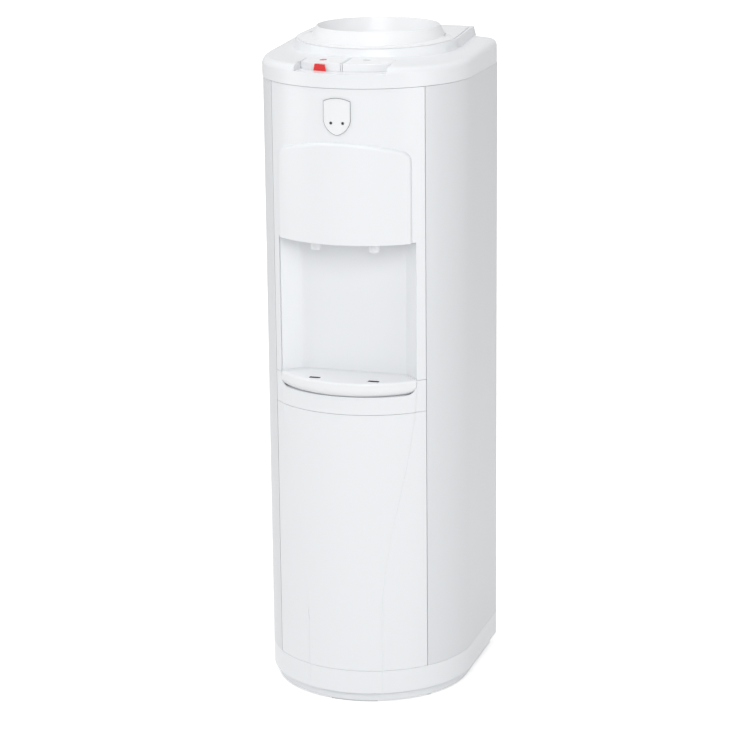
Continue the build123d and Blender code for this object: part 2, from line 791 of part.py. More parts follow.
with BuildPart() as tray_band:
    add(front_band(tray_band_bottom + seam / 2, tray_band_top - seam / 2))
    add(field_relief(tray_band_bottom + seam / 2, tray_band_top - seam / 2))
    with BuildPart(mode=Mode.PRIVATE) as mouth:
        with BuildSketch(Plane.XY.offset(tray_bottom)):
            add(front_sector(body_radius + tray_proud, inner_radius - 30, alcove_half_width + gap))
        extrude(amount=tray_band_top - tray_bottom)
        with BuildSketch(Plane.XZ):
            add(tray_front_view(0))
        extrude(amount=2 * body_radius, mode=Mode.INTERSECT)
    add(mouth.part, mode=Mode.SUBTRACT)
    with BuildSketch(Plane.XY.offset(tray_bottom - panel_wall)):
        add(front_sector(body_radius - 1, 10, front_half_width - seam / 2))
        with Locations((0, alcove_back / 2)):
            Rectangle(2 * body_radius, -alcove_back, mode=Mode.SUBTRACT)
    extrude(amount=panel_wall)
save(tray_band.part, "tray_band")

with BuildPart() as lower_front_panel:
    add(front_band(base_top + seam / 2, tray_band_bottom - seam / 2))
    add(field_relief(base_top + seam / 2, tray_band_bottom - seam / 2))
save(lower_front_panel.part, "lower_front_panel")


# ---------------------------------------------------------------- alcove and drip tray
def alcove_plan(grow, depth=body_radius + 20):
    """The alcove between its slanted side walls, grown or shrunk on every side."""
    with BuildSketch() as room:
        with BuildLine():
            Polyline((-alcove_half_width, -depth), (-alcove_half_width, alcove_mouth),
                     (-alcove_back_half_width, alcove_back), (alcove_back_half_width, alcove_back),
                     (alcove_half_width, alcove_mouth), (alcove_half_width, -depth),
                     (-alcove_half_width, -depth))
        make_face()
        fillet(room.vertices().group_by(Axis.Y)[-1], alcove_corner)
        if grow:
            offset(amount=grow)
    return room.sketch


with BuildPart() as alcove_liner:
    with BuildSketch(Plane.XY.offset(tray_bottom)):
        add(alcove_plan(panel_wall))
        add(alcove_plan(0), mode=Mode.SUBTRACT)
        Circle(inner_radius - gap, mode=Mode.INTERSECT)
    extrude(amount=hood_bottom + panel_wall - tray_bottom)
    with BuildSketch(Plane.XY.offset(hood_bottom)):
        add(alcove_plan(0))
        Circle(body_radius + hood_proud - panel_wall - gap, mode=Mode.INTERSECT)
        with Locations((0, -body_radius / 2)):
            Rectangle(2 * (hood_half_width - panel_wall - gap), body_radius + 20, mode=Mode.INTERSECT)
        with Locations((-spout_x, spout_y), (spout_x, spout_y)):
            Circle(spout_radius + gap, mode=Mode.SUBTRACT)
    extrude(amount=panel_wall)
save(alcove_liner.part, "alcove_liner")


def tray_plan(inset):
    """Crescent outline of the drip tray: a flatter arc in front, the alcove's walls behind."""
    with BuildSketch() as outline:
        add(alcove_plan(-gap - inset))
        with Locations((0, tray_arc_y)):
            Circle(tray_arc_radius - inset, mode=Mode.INTERSECT)
    return outline.sketch


with BuildPart() as drip_tray:
    with BuildSketch(Plane.XY.offset(tray_bottom)):
        add(tray_plan(0))
    extrude(amount=tray_top - tray_bottom)
    tray_front = drip_tray.faces().filter_by(GeomType.CYLINDER).sort_by(Axis.Y)[0]
    fillet(tray_front.edges().group_by(Axis.Z)[0], tray_round)
    fillet(tray_front.edges().group_by(Axis.Z)[-1], tray_rim_round)
    with BuildSketch(Plane.XZ):
        add(tray_front_view(gap))
    extrude(amount=2 * body_radius, mode=Mode.INTERSECT)
    with BuildSketch(Plane.XY.offset(tray_bottom + tray_wall)):
        add(tray_plan(tray_wall + tray_end_round / 2))
    extrude(amount=30, mode=Mode.SUBTRACT)
    with BuildSketch(Plane.XY.offset(tray_plate_bottom)):
        add(tray_plan(tray_rim_round + tray_rim))
    extrude(amount=30, mode=Mode.SUBTRACT)
save(drip_tray.part, "drip_tray")

with BuildPart() as tray_plate:
    with BuildSketch(Plane.XY.offset(tray_plate_bottom)):
        add(tray_plan(tray_rim_round + tray_rim + gap))
        with Locations((-tray_slot_x, tray_slot_y), (tray_slot_x, tray_slot_y)):
            RectangleRounded(*tray_slot, 1.5, mode=Mode.SUBTRACT)
    extrude(amount=tray_plate_thick)
save(tray_plate.part, "tray_plate")


# ---------------------------------------------------------------- indicator plate and its lights
def shield(inset):
    """Outline of the shield-shaped indicator plate."""
    half = shield_half_width - inset
    corner = shield_corner - inset
    tip = shield_tip + inset * 1.3
    flank = (half * 0.72, (shield_waist + shield_tip) / 2 - 2)
    with BuildSketch(Plane.XZ) as face:
        with BuildLine():
            ThreePointArc((-half, corner), (0, shield_top - inset), (half, corner))
            Line((half, corner), (half, shield_waist))
            ThreePointArc((half, shield_waist), flank, (0, tip))
            ThreePointArc((0, tip), (-flank[0], flank[1]), (-half, shield_waist))
            Line((-half, shield_waist), (-half, corner))
        make_face()
    return face.sketch


def on_the_front(face, inner, outer):
    """A flat outline laid round the cabinet's front between two radii."""
    with BuildPart() as skin:
        with BuildSketch(Plane.XY.offset(hood_top)):
            Circle(outer)
            Circle(inner, mode=Mode.SUBTRACT)
        extrude(amount=cover_bottom - hood_top)
        with BuildSketch(Plane.XZ):
            add(face)
        extrude(amount=2 * body_radius, mode=Mode.INTERSECT)
    return skin.part


shield_face = body_radius + shield_lift + shield_thick
with BuildPart() as indicator_plate:
    add(on_the_front(shield(0), body_radius + shield_lift, shield_face + shield_border))
    add(on_the_front(shield(shield_rim), shield_face, shield_face + 5), mode=Mode.SUBTRACT)
    with BuildSketch(Plane.XZ.offset(board_face)):
        with Locations((-led_x, led_height), (led_x, led_height)):
            Circle(led_radius + 0.2)
    extrude(amount=body_radius, mode=Mode.SUBTRACT)
save(indicator_plate.part, "indicator_plate")

with BuildPart() as indicator_lights:
    with BuildSketch(Plane.XZ.offset(board_face)):
        with Locations((-led_x, led_height), (led_x, led_height)):
            Circle(led_radius)
    extrude(amount=shield_face + 0.6 - board_face)
    fillet(indicator_lights.faces().sort_by(Axis.Y)[:2].edges(), led_radius / 2)
save(indicator_lights.part, "indicator_lights")

with BuildPart() as indicator_board:
    with BuildSketch(Plane.XZ.offset(board_face)):
        with Locations((0, board_height)):
            Rectangle(2 * board_boss_x + 8, 30)
    extrude(amount=-1.6)
    with BuildSketch(Plane.XZ.offset(board_face)):
        with Locations((0, board_height - board_boss_drop)):
            with GridLocations(2 * board_boss_x, 1, 2, 1):
                Circle(2.5)
    extrude(amount=sqrt(inner_radius ** 2 - board_boss_x ** 2) - 2 * gap - board_face)
save(indicator_board.part, "indicator_board")


# ---------------------------------------------------------------- base, feet and side panels
with BuildPart() as base:
    with BuildSketch(Plane.XY.offset(skirt_bottom)):
        add(plan(body_radius, body_back))
        add(plan(body_radius - base_wall, body_back - base_wall, back_corner - 1), mode=Mode.SUBTRACT)
    extrude(amount=base_top - skirt_bottom)
    with BuildSketch(Plane.XY.offset(skirt_bottom)):
        add(plan(body_radius - 1, body_back - 1))
    extrude(amount=base_wall)
    with BuildSketch(Plane.XY.offset(foot_height)):
        add(plan(body_radius - plinth_inset, body_back - plinth_inset))
        add(plan(body_radius - plinth_inset - plinth_width, body_back - plinth_inset - plinth_width),
            mode=Mode.SUBTRACT)
    extrude(amount=skirt_bottom + 1 - foot_height)
    add(field_relief(skirt_bottom, base_top))
save(base.part, "base")

foot_ring = body_radius - plinth_inset - plinth_width / 2
foot_turn = radians(front_foot_angle)
foot_spots = [(side * foot_ring * sin(foot_turn), -foot_ring * cos(foot_turn)) for side in (-1, 1)]
foot_spots += [(side * foot_ring, body_back - plinth_inset - plinth_width / 2 - 6) for side in (-1, 1)]
with BuildPart() as feet:
    with BuildSketch():
        with BuildSketch(mode=Mode.PRIVATE) as strip:
            Circle(body_radius - plinth_inset - 1)
            Circle(body_radius - plinth_inset - plinth_width + 1, mode=Mode.SUBTRACT)
            with Locations((front_foot_x, -body_radius)):
                Rectangle(front_foot_width, body_radius, mode=Mode.INTERSECT)
        add(strip.sketch)
        with Locations(*foot_spots):
            Circle(foot_radius)
    extrude(amount=foot_height)
save(feet.part, "feet")

panel_bottom = base_top + seam / 2
panel_top = cover_bottom - seam / 2
with BuildPart() as right_side_panel:
    with BuildSketch(Plane.XY.offset(panel_bottom)):
        add(plan(body_radius, body_back))
        add(plan(body_radius - sheet, body_back - sheet, back_corner - sheet), mode=Mode.SUBTRACT)
        with Locations((front_half_width + seam / 2 + body_radius / 2, 0)):
            Rectangle(body_radius, 3 * body_radius, mode=Mode.INTERSECT)
        with Locations((body_radius - rear_flange - 20, body_back)):
            Rectangle(40, 20, mode=Mode.SUBTRACT)
        with Locations((body_radius - sheet / 2 - rear_flange / 2, rear_y - gap - sheet / 2)):
            Rectangle(rear_flange, sheet)
        with BuildSketch(mode=Mode.PRIVATE) as hem:
            with Locations((front_half_width + seam / 2 + sheet / 2, -body_radius / 2)):
                Rectangle(sheet, body_radius)
            Circle(body_radius - sheet / 2, mode=Mode.INTERSECT)
            Circle(body_radius - return_depth, mode=Mode.SUBTRACT)
        add(hem.sketch)
    extrude(amount=panel_top - panel_bottom)
save(right_side_panel.part, "right_side_panel")

with BuildPart() as left_side_panel:
    mirror(right_side_panel.part, about=Plane.YZ)
save(left_side_panel.part, "left_side_panel")


# ---------------------------------------------------------------- rear panel and what it carries
rear_face = rear_y + sheet
rear_half = body_radius - sheet - gap
switch_spots = {"hot_switch": switch_x + switch_pitch / 2, "cold_switch": switch_x - switch_pitch / 2}
screw_x = rear_half - rear_flange / 2
screw_spots = [(side * screw_x, height) for side in (-1, 1) for height in screw_heights]
with BuildPart() as rear_panel:
    with BuildSketch(Plane.XZ.offset(-rear_face)):
        with Locations((0, (panel_bottom + panel_top) / 2)):
            Rectangle(2 * rear_half, panel_top - panel_bottom)
        with Locations((0, vent_height)):
            with GridLocations(vent_pitch_x, vent_pitch_z, vent_columns, vent_rows):
                SlotOverall(vent_length, vent_width, mode=Mode.SUBTRACT)
        with Locations(*[(x, switch_height) for x in switch_spots.values()]):
            Rectangle(switch_width + gap, switch_tall + gap, mode=Mode.SUBTRACT)
        with Locations((0, drain_height)):
            Circle(drain_radius + gap, mode=Mode.SUBTRACT)
        with Locations((gland_x, gland_height)):
            Circle(gland_radius + gap, mode=Mode.SUBTRACT)
        with Locations((thermostat_x, thermostat_height)):
            Circle(shaft_radius + gap, mode=Mode.SUBTRACT)
        with Locations((condenser_pipe_x, condenser_bottom), (-condenser_pipe_x, condenser_top)):
            Circle(condenser_tube + 2 * gap, mode=Mode.SUBTRACT)
        with Locations(*screw_spots):
            Circle(screw_shank + 0.2, mode=Mode.SUBTRACT)
    extrude(amount=sheet)
save(rear_panel.part, "rear_panel")

with BuildPart() as rear_screws:
    with BuildSketch(Plane.XZ.offset(-rear_face - screw_head_height)):
        with Locations(*screw_spots):
            Circle(screw_head)
    extrude(amount=screw_head_height)
    with BuildSketch(Plane.XZ.offset(-rear_face)):
        with Locations(*screw_spots):
            Circle(screw_shank)
    extrude(amount=sheet + gap / 2)
save(rear_screws.part, "rear_screws")

tube_y = rear_face + condenser_stand
pipe_y = rear_y - pipe_inset
turns = [(condenser_pipe_x, pipe_y, condenser_bottom - condenser_tail),
         (condenser_pipe_x, pipe_y, condenser_bottom), (condenser_pipe_x, tube_y, condenser_bottom)]
pitch = (condenser_top - condenser_bottom) / (condenser_passes - 1)
for row in range(condenser_passes):
    ends = (condenser_half_width, -condenser_half_width)
    if row % 2:
        ends = ends[::-1]
    height = condenser_bottom + row * pitch
    if row:
        turns.append((ends[0], tube_y, height))
    if row < condenser_passes - 1:
        turns.append((ends[1], tube_y, height))
turns += [(-condenser_pipe_x, tube_y, condenser_top), (-condenser_pipe_x, pipe_y, condenser_top),
          (-condenser_pipe_x, pipe_y, drier_top + drier_neck + seat_gap)]
bend = pitch / 2 - 1
bends = [10, 10] + [bend] * (len(turns) - 6) + [10, 8]
with BuildPart() as condenser_pipe:
    add(pipe(turns, condenser_tube, bends))
save(condenser_pipe.part, "condenser_pipe")

wire_offset = condenser_tube + wire_radius + wire_gap
with BuildPart() as condenser_wires:
    for y in (tube_y - wire_offset, tube_y + wire_offset):
        with BuildSketch(Plane.XY.offset(condenser_bottom - condenser_overlap)):
            with Locations((0, y)):
                with GridLocations(2 * wire_reach / (wire_count - 1), 1, wire_count, 1):
                    RegularPolygon(wire_radius, 6)
        extrude(amount=condenser_top - condenser_bottom + 2 * condenser_overlap)
save(condenser_wires.part, "condenser_wires")

with BuildPart() as condenser_spacers:
    for side in (-1, 1):
        for row in (1.5, condenser_passes - 2.5):
            with BuildSketch(Plane.XZ.offset(-rear_face)):
                with Locations((side * spacer_x, condenser_bottom + row * pitch)):
                    RectangleRounded(*spacer_size, 4)
            extrude(amount=rear_face - rear_reach)
save(condenser_spacers.part, "condenser_spacers")


def rocker_switch(x):
    """A rocker that tips about its middle in its own frame."""
    low = switch_height - rocker_half
    high = switch_height + rocker_half
    with BuildPart() as rocker:
        with BuildSketch(Plane.YZ.offset(x - switch_width / 2 + switch_rim)):
            with BuildLine():
                Polyline((rear_face - 5, low), (rear_face + 3.2, low), (rear_face + 1.8, switch_height),
                         (rear_face + 4.6, high), (rear_face - 5, high), (rear_face - 5, low))
            make_face()
        extrude(amount=switch_width - 2 * switch_rim)
    return rocker.part


for name, x in switch_spots.items():
    with BuildPart() as switch_rocker:
        add(rocker_switch(x))
    save(switch_rocker.part, name)

with BuildPart() as switch_frames:
    for x in switch_spots.values():
        with BuildSketch(Plane.XZ.offset(-rear_face)):
            with Locations((x, switch_height)):
                RectangleRounded(switch_width + 3, switch_tall + 3, 1.5)
        extrude(amount=-1.4)
        with BuildSketch(Plane.XZ.offset(-rear_face)):
            with Locations((x, switch_height)):
                Rectangle(switch_width, switch_tall)
        extrude(amount=switch_depth)
    for x in switch_spots.values():
        with BuildSketch(Plane.XZ.offset(-rear_face - 3)):
            with Locations((x, switch_height)):
                Rectangle(switch_width - 2 * switch_rim + 2 * gap, 2 * rocker_half + 4 * gap)
        extrude(amount=switch_depth - 1, mode=Mode.SUBTRACT)
save(switch_frames.part, "switch_frames")

with BuildPart() as cord_gland:
    with BuildSketch(Plane.XZ.offset(-rear_face)):
        with Locations((gland_x, gland_height)):
            Circle(gland_radius + 3)
    extrude(amount=-3)
    with BuildSketch(Plane.XZ.offset(-rear_face)):
        with Locations((gland_x, gland_height)):
            Circle(gland_radius)
    extrude(amount=sheet + 5)
    with BuildSketch(Plane.XZ.offset(-rear_face - 4)):
        with Locations((gland_x, gland_height)):
            Circle(gland_bore)
    extrude(amount=20, mode=Mode.SUBTRACT)
save(cord_gland.part, "cord_gland")

with BuildPart() as drain_outlet:
    with BuildSketch(Plane.XZ.offset(-rear_face)):
        with Locations((0, drain_height)):
            Circle(drain_radius + 5)
    extrude(amount=-1.5)
    with BuildSketch(Plane.XZ.offset(-rear_y + 2)):
        with Locations((0, drain_height)):
            Circle(drain_radius)
    extrude(amount=-drain_reach - 2)
    with BuildSketch(Plane.XZ.offset(-rear_y + 3)):
        with Locations((0, drain_height)):
            Circle(drain_bore)
    extrude(amount=-drain_reach - 10, mode=Mode.SUBTRACT)
save(drain_outlet.part, "drain_outlet")

with BuildPart() as drain_cap:
    with BuildSketch(Plane.XZ.offset(-rear_face - 1.5)):
        with Locations((0, drain_height)):
            Circle(drain_radius + 4)
            with PolarLocations(drain_radius + 4, 8):
                Circle(0.8)
    extrude(amount=-drain_reach + 1)
    with BuildSketch(Plane.XZ.offset(-rear_face)):
        with Locations((0, drain_height)):
            Circle(drain_radius + run_gap)
    extrude(amount=sheet - drain_reach - seat_gap, mode=Mode.SUBTRACT)
save(drain_cap.part, "drain_cap")

with BuildPart() as cold_thermostat:
    with BuildSketch(Plane.XZ.offset(-rear_y)):
        with Locations((thermostat_x, thermostat_height)):
            RectangleRounded(*thermostat_case, 3)
    extrude(amount=thermostat_depth)
    with BuildSketch(Plane.XZ.offset(-rear_face - 3)):
        with Locations((thermostat_x, thermostat_height)):
            Circle(shaft_radius)
    extrude(amount=6)
    with BuildSketch(Plane.XZ.offset(-rear_face - 4)):
        with Locations((thermostat_x, thermostat_height)):
            Rectangle(2 * shaft_radius + 1, 1)
    extrude(amount=2, mode=Mode.SUBTRACT)
save(cold_thermostat.part, "cold_thermostat")


# ---------------------------------------------------------------- cold tank
def can(outer, bottom, top, wall, y, mouth=0.0, mouth_top=0.0):
    """A welded steel can, with an open neck if a mouth radius is given."""
    with BuildPart() as shell:
        with BuildSketch(Plane.XZ.offset(-y)):
            with BuildLine():
                if mouth:
                    Polyline((0, bottom), (outer, bottom), (outer, top), (mouth + wall, top),
                             (mouth + wall, mouth_top), (mouth, mouth_top), (mouth, top - wall),
                             (outer - wall, top - wall), (outer - wall, bottom + wall), (0, bottom + wall),
                             (0, bottom))
                else:
                    Polyline((0, bottom), (outer, bottom), (outer, top), (0, top), (0, bottom))
            make_face()
        revolve(axis=Axis((0, y, 0), (0, 0, 1)))
    return shell.part


with BuildPart() as cold_tank:
    add(can(tank_radius, tank_bottom, tank_top, tank_wall, bottle_y, tank_mouth, tank_top + tank_neck))
save(cold_tank.part, "cold_tank")

with BuildPart() as tank_baffle:
    with BuildSketch(Plane.XY.offset(baffle_height)):
        with Locations((0, bottle_y)):
            Circle(tank_radius - tank_wall - gap)
            with PolarLocations(tank_radius * 0.66, 8):
                Circle(4, mode=Mode.SUBTRACT)
    extrude(amount=2)
    with BuildSketch(Plane.XY.offset(tank_bottom + tank_wall)):
        with Locations((0, bottle_y)):
            Circle(feed_radius + 2)
    extrude(amount=baffle_height - tank_bottom)
    with BuildSketch(Plane.XY.offset(tank_bottom)):
        with Locations((0, bottle_y)):
            Circle(feed_radius)
    extrude(amount=baffle_height, mode=Mode.SUBTRACT)
save(tank_baffle.part, "tank_baffle")

with BuildPart() as evaporator_coil:
    with BuildSketch(Plane.XY.offset(coil_bottom)):
        with Locations((0, bottle_y)):
            Circle(tank_radius + seat_gap + 2 * coil_tube)
            Circle(tank_radius + seat_gap, mode=Mode.SUBTRACT)
    extrude(amount=coil_top - coil_bottom)
save(evaporator_coil.part, "evaporator_coil")

foam_bore = tank_radius + seat_gap + 2 * coil_tube + seat_gap
suction_x = 100.0
with BuildPart() as foam_shell:
    with BuildSketch(Plane.XY.offset(tank_bottom - foam)):
        with Locations((0, bottle_y)):
            Circle(tank_radius + foam)
    extrude(amount=tank_top - tank_bottom + foam + foam_lid)
    with BuildSketch(Plane.XY.offset(tank_bottom)):
        with Locations((0, bottle_y)):
            Circle(foam_bore)
    extrude(amount=tank_top - tank_bottom, mode=Mode.SUBTRACT)
    with BuildSketch(Plane.XY.offset(tank_bottom - foam)):
        with Locations((0, bottle_y)):
            Circle(feed_radius + 3)
    extrude(amount=foam, mode=Mode.SUBTRACT)
    with BuildSketch(Plane.XY.offset(tank_top)):
        with Locations((0, bottle_y)):
            Circle(tank_mouth + tank_wall + gap)
    extrude(amount=foam_lid, mode=Mode.SUBTRACT)
    with BuildSketch(Plane.YZ.offset(tank_radius)):
        with Locations((bottle_y, coil_bottom + 6)):
            Circle(suction_radius + gap)
    extrude(amount=foam + 10, mode=Mode.SUBTRACT)
    with BuildSketch(Plane.XZ.offset(-bottle_y + foam_bore - 20)):
        with Locations((cold_outlet_x, cold_outlet_height)):
            Circle(hose_radius + gap)
    extrude(amount=foam + 40, mode=Mode.SUBTRACT)
for name, keep, shift in (("foam_front", Keep.BOTTOM, -gap / 4), ("foam_rear", Keep.TOP, gap / 4)):
    with BuildPart() as half:
        add(foam_shell.part)
        split(bisect_by=Plane(origin=(0, bottle_y + shift, 0), x_dir=(1, 0, 0), z_dir=(0, 1, 0)), keep=keep)
    save(half.part, name)


# ---------------------------------------------------------------- hot tank and the shelves
with BuildPart() as hot_tank:
    add(can(hot_radius, hot_bottom, hot_top, tank_wall, hot_y))
save(hot_tank.part, "hot_tank")

with BuildPart() as heater_band:
    with BuildSketch(Plane.XY.offset(hot_bottom + 40)):
        with Locations((0, hot_y)):
            Circle(hot_radius + band_thick)
            Circle(hot_radius + seat_gap, mode=Mode.SUBTRACT)
    extrude(amount=band_height)
save(heater_band.part, "heater_band")

with BuildPart() as hot_jacket:
    with BuildSketch(Plane.XY.offset(hot_bottom)):
        with Locations((0, hot_y)):
            Circle(hot_radius + band_thick + gap + jacket)
            Circle(hot_radius + band_thick + gap, mode=Mode.SUBTRACT)
    extrude(amount=hot_top - hot_bottom)
save(hot_jacket.part, "hot_jacket")

with BuildPart() as hot_thermostats:
    with BuildSketch(Plane.XY.offset(hot_top)):
        with Locations((-cutout_x, hot_y + 22), (cutout_x, hot_y + 22)):
            Circle(9)
    extrude(amount=7)
save(hot_thermostats.part, "hot_thermostats")


def shelf(height, front, holes):
    """A steel shelf between the side panels, with its side edges turned down."""
    half = body_radius - sheet - gap
    with BuildPart() as plate:
        with BuildSketch(Plane.XY.offset(height - sheet)):
            add(plan(half, shelf_back, sheet))
            with Locations((0, front - body_radius)):
                Rectangle(2 * body_radius, 2 * body_radius, mode=Mode.SUBTRACT)
            for x, y, radius in holes:
                with Locations((x, y)):
                    Circle(radius, mode=Mode.SUBTRACT)
        extrude(amount=sheet)
        with BuildSketch(Plane.XY.offset(height - shelf_turn)):
            with Locations((-half + sheet / 2, shelf_back / 2), (half - sheet / 2, shelf_back / 2)):
                Rectangle(sheet, shelf_back - 2 * sheet)
        extrude(amount=shelf_turn - sheet / 2)
    return plate.part


suction_hole = (suction_x, bottle_y, suction_radius + 2)
with BuildPart() as cold_shelf:
    add(shelf(tank_bottom - foam, shelf_front, [(0, bottle_y, feed_radius + 4), suction_hole]))
save(cold_shelf.part, "cold_shelf")

with BuildPart() as hot_shelf:
    add(shelf(hot_bottom, shelf_front, [(0, hot_y, hose_radius + 2), suction_hole]))
save(hot_shelf.part, "hot_shelf")


# ---------------------------------------------------------------- compressor
compressor_axis = Axis((0, compressor_y, 0), (0, 0, 1))
with BuildPart() as compressor:
    with BuildSketch(Plane.XZ.offset(-compressor_y)):
        with BuildLine():
            low = rail_height + rail_thick
            Polyline((0, low), (compressor_radius * 0.7, low), (compressor_radius - 4, low + 14),
                     (compressor_radius - 2, weld_height), (compressor_radius + 3, weld_height),
                     (compressor_radius + 3, weld_height + 5), (compressor_radius - 2, weld_height + 5),
                     (compressor_radius - 4, compressor_top - 30))
            Spline((compressor_radius - 4, compressor_top - 30),
                   (compressor_radius * 0.62, compressor_top - 7), (0, compressor_top),
                   tangents=[(0, 1), (-1, 0)])
            Line((0, compressor_top), (0, low))
        make_face()
    revolve(axis=compressor_axis)
    with BuildSketch(Plane.XY.offset(rail_height)):
        with Locations((0, compressor_y)):
            RectangleRounded(2 * mount_x + 24, 2 * mount_y + 24, 10)
            with GridLocations(2 * mount_x, 2 * mount_y, 2, 2):
                Circle(grommet_neck + gap, mode=Mode.SUBTRACT)
    extrude(amount=rail_thick)
    with BuildSketch(Plane.XZ.offset(-compressor_y)):
        with Locations((0, weld_height - 30)):
            RectangleRounded(46, 40, 5)
    extrude(amount=compressor_radius + 16)
save(compressor.part, "compressor")

with BuildPart() as compressor_mounts:
    with BuildSketch(Plane.XY.offset(skirt_bottom + base_wall)):
        with Locations((0, compressor_y)):
            with GridLocations(2 * mount_x, 2 * mount_y, 2, 2):
                Circle(grommet_radius)
    extrude(amount=rail_height - skirt_bottom - base_wall)
    with BuildSketch(Plane.XY.offset(rail_height - 1)):
        with Locations((0, compressor_y)):
            with GridLocations(2 * mount_x, 2 * mount_y, 2, 2):
                Circle(grommet_neck)
    extrude(amount=rail_thick + 5)
save(compressor_mounts.part, "compressor_mounts")


# ---------------------------------------------------------------- pipes and hoses, each held along its way
with BuildPart() as filter_drier:
    with BuildSketch(Plane.XZ.offset(pipe_inset - rear_y)):
        with BuildLine():
            Polyline((0, drier_bottom), (condenser_tube, drier_bottom),
                     (drier_radius, drier_bottom + drier_neck), (drier_radius, drier_top),
                     (condenser_tube, drier_top + drier_neck), (0, drier_top + drier_neck),
                     (0, drier_bottom))
        make_face()
    revolve(axis=Axis((0, pipe_y, 0), (0, 0, 1)))
with BuildPart() as placed_drier:
    with Locations((-condenser_pipe_x, 0)):
        add(filter_drier.part)
save(placed_drier.part, "filter_drier")

weld_reach = sqrt((compressor_radius + 3) ** 2 - (discharge_x - condenser_tube) ** 2)
discharge_route = [(discharge_x, compressor_y + weld_reach + gap, discharge_height),
                   (discharge_x, pipe_y, discharge_height), (condenser_pipe_x, pipe_y, discharge_height),
                   (condenser_pipe_x, pipe_y, condenser_bottom - condenser_tail - seat_gap)]
suction_route = [(tank_radius + 2 * coil_tube + 3 * seat_gap, bottle_y, coil_bottom + 6),
                 (suction_x, bottle_y, coil_bottom + 6), (suction_x, bottle_y, suction_low),
                 (compressor_radius + 1, bottle_y, suction_low)]
with BuildPart() as refrigerant_lines:
    add(pipe(discharge_route, condenser_tube, [line_bend / 2, line_bend]))
    add(pipe(suction_route, suction_radius, [line_bend - 5, line_bend - 2]))
save(refrigerant_lines.part, "refrigerant_lines")

outlet_y = bottle_y - sqrt(tank_radius ** 2 - (cold_outlet_x - hose_radius) ** 2) - seat_gap
hot_outlet_y = hot_y - 30
hot_rise = hot_top + 13
cold_hose_route = [(cold_outlet_x, outlet_y, cold_outlet_height),
                   (cold_outlet_x, inlet_end + 52, cold_outlet_height),
                   (spout_x, inlet_end + 22, inlet_height), (spout_x, inlet_end + gap, inlet_height)]
hot_hose_route = [(-cutout_x, hot_outlet_y, hot_top + seat_gap), (-cutout_x, hot_outlet_y, hot_rise),
                  (-cutout_x, inlet_end + 40, hot_rise), (-spout_x, inlet_end + 30, inlet_height),
                  (-spout_x, inlet_end + gap, inlet_height)]
drain_hose_route = [(0, hot_y, hot_bottom - seat_gap), (0, hot_y, drain_height),
                    (0, rear_y - 2 - seat_gap, drain_height)]
with BuildPart() as water_hoses:
    add(pipe(cold_hose_route, hose_radius, [hose_bend, hose_bend]))
    add(pipe(hot_hose_route, hose_radius, [hose_bend - 2, hose_bend, hose_bend]))
    add(pipe(drain_hose_route, hose_radius, [hose_bend + 4]))
save(water_hoses.part, "water_hoses")

with BuildPart() as hot_feed:
    with BuildSketch(Plane.XY.offset(hot_top)):
        with Locations((0, bottle_y)):
            Circle(feed_radius)
            Circle(feed_radius - 1.5, mode=Mode.SUBTRACT)
    extrude(amount=tank_bottom - hot_top)
save(hot_feed.part, "hot_feed")
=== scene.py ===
import json
import math

import bpy
from mathutils import Matrix, Vector
from mathutils.bvhtree import BVHTree

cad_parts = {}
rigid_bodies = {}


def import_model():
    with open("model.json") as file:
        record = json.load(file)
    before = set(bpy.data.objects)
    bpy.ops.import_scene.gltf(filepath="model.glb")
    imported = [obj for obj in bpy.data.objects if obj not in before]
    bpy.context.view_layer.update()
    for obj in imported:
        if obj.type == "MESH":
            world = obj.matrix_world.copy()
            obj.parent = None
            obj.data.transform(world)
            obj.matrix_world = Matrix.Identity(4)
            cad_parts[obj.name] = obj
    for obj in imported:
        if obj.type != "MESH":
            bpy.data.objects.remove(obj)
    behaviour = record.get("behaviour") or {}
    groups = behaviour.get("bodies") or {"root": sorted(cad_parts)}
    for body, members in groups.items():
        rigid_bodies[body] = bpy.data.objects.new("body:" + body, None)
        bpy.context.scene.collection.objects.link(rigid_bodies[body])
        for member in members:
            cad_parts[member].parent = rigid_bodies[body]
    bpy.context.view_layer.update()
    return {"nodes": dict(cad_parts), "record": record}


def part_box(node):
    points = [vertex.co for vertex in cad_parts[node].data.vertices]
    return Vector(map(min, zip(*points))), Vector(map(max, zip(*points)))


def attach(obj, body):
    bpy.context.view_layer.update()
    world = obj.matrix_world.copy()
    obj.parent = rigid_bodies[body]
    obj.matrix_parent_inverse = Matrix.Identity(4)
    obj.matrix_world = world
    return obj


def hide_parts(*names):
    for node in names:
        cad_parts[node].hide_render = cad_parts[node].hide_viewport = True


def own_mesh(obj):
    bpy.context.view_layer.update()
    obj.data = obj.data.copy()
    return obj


# Hot and cold water cooler with its bottle collar on top.  Metres, +Z up, the user at -Y.

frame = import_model()
nodes = frame["nodes"]
body_of = {name: body for body, names in frame["record"]["behaviour"]["bodies"].items() for name in names}
slot_of = {entry["node"]: entry["material_slot"] for entry in frame["record"]["subparts"]}


# ---------------------------------------------------------------- shader node groups
def new_group(name, inputs, outputs):
    """An empty shader group with float or colour sockets."""
    group = bpy.data.node_groups.new(name, "ShaderNodeTree")
    for label, value in inputs:
        kind = "NodeSocketColor" if isinstance(value, tuple) else "NodeSocketFloat"
        socket = group.interface.new_socket(label, in_out="INPUT", socket_type=kind)
        socket.default_value = value
    for label, kind in outputs:
        group.interface.new_socket(label, in_out="OUTPUT", socket_type=kind)
    return group, group.nodes.new("NodeGroupInput"), group.nodes.new("NodeGroupOutput")


def node(tree, kind, **values):
    """Adds a node; values name its properties or its inputs."""
    made = tree.nodes.new(kind)
    for key, value in values.items():
        if hasattr(made, key):
            setattr(made, key, value)
        else:
            made.inputs[key.replace("_", " ")].default_value = value
    return made


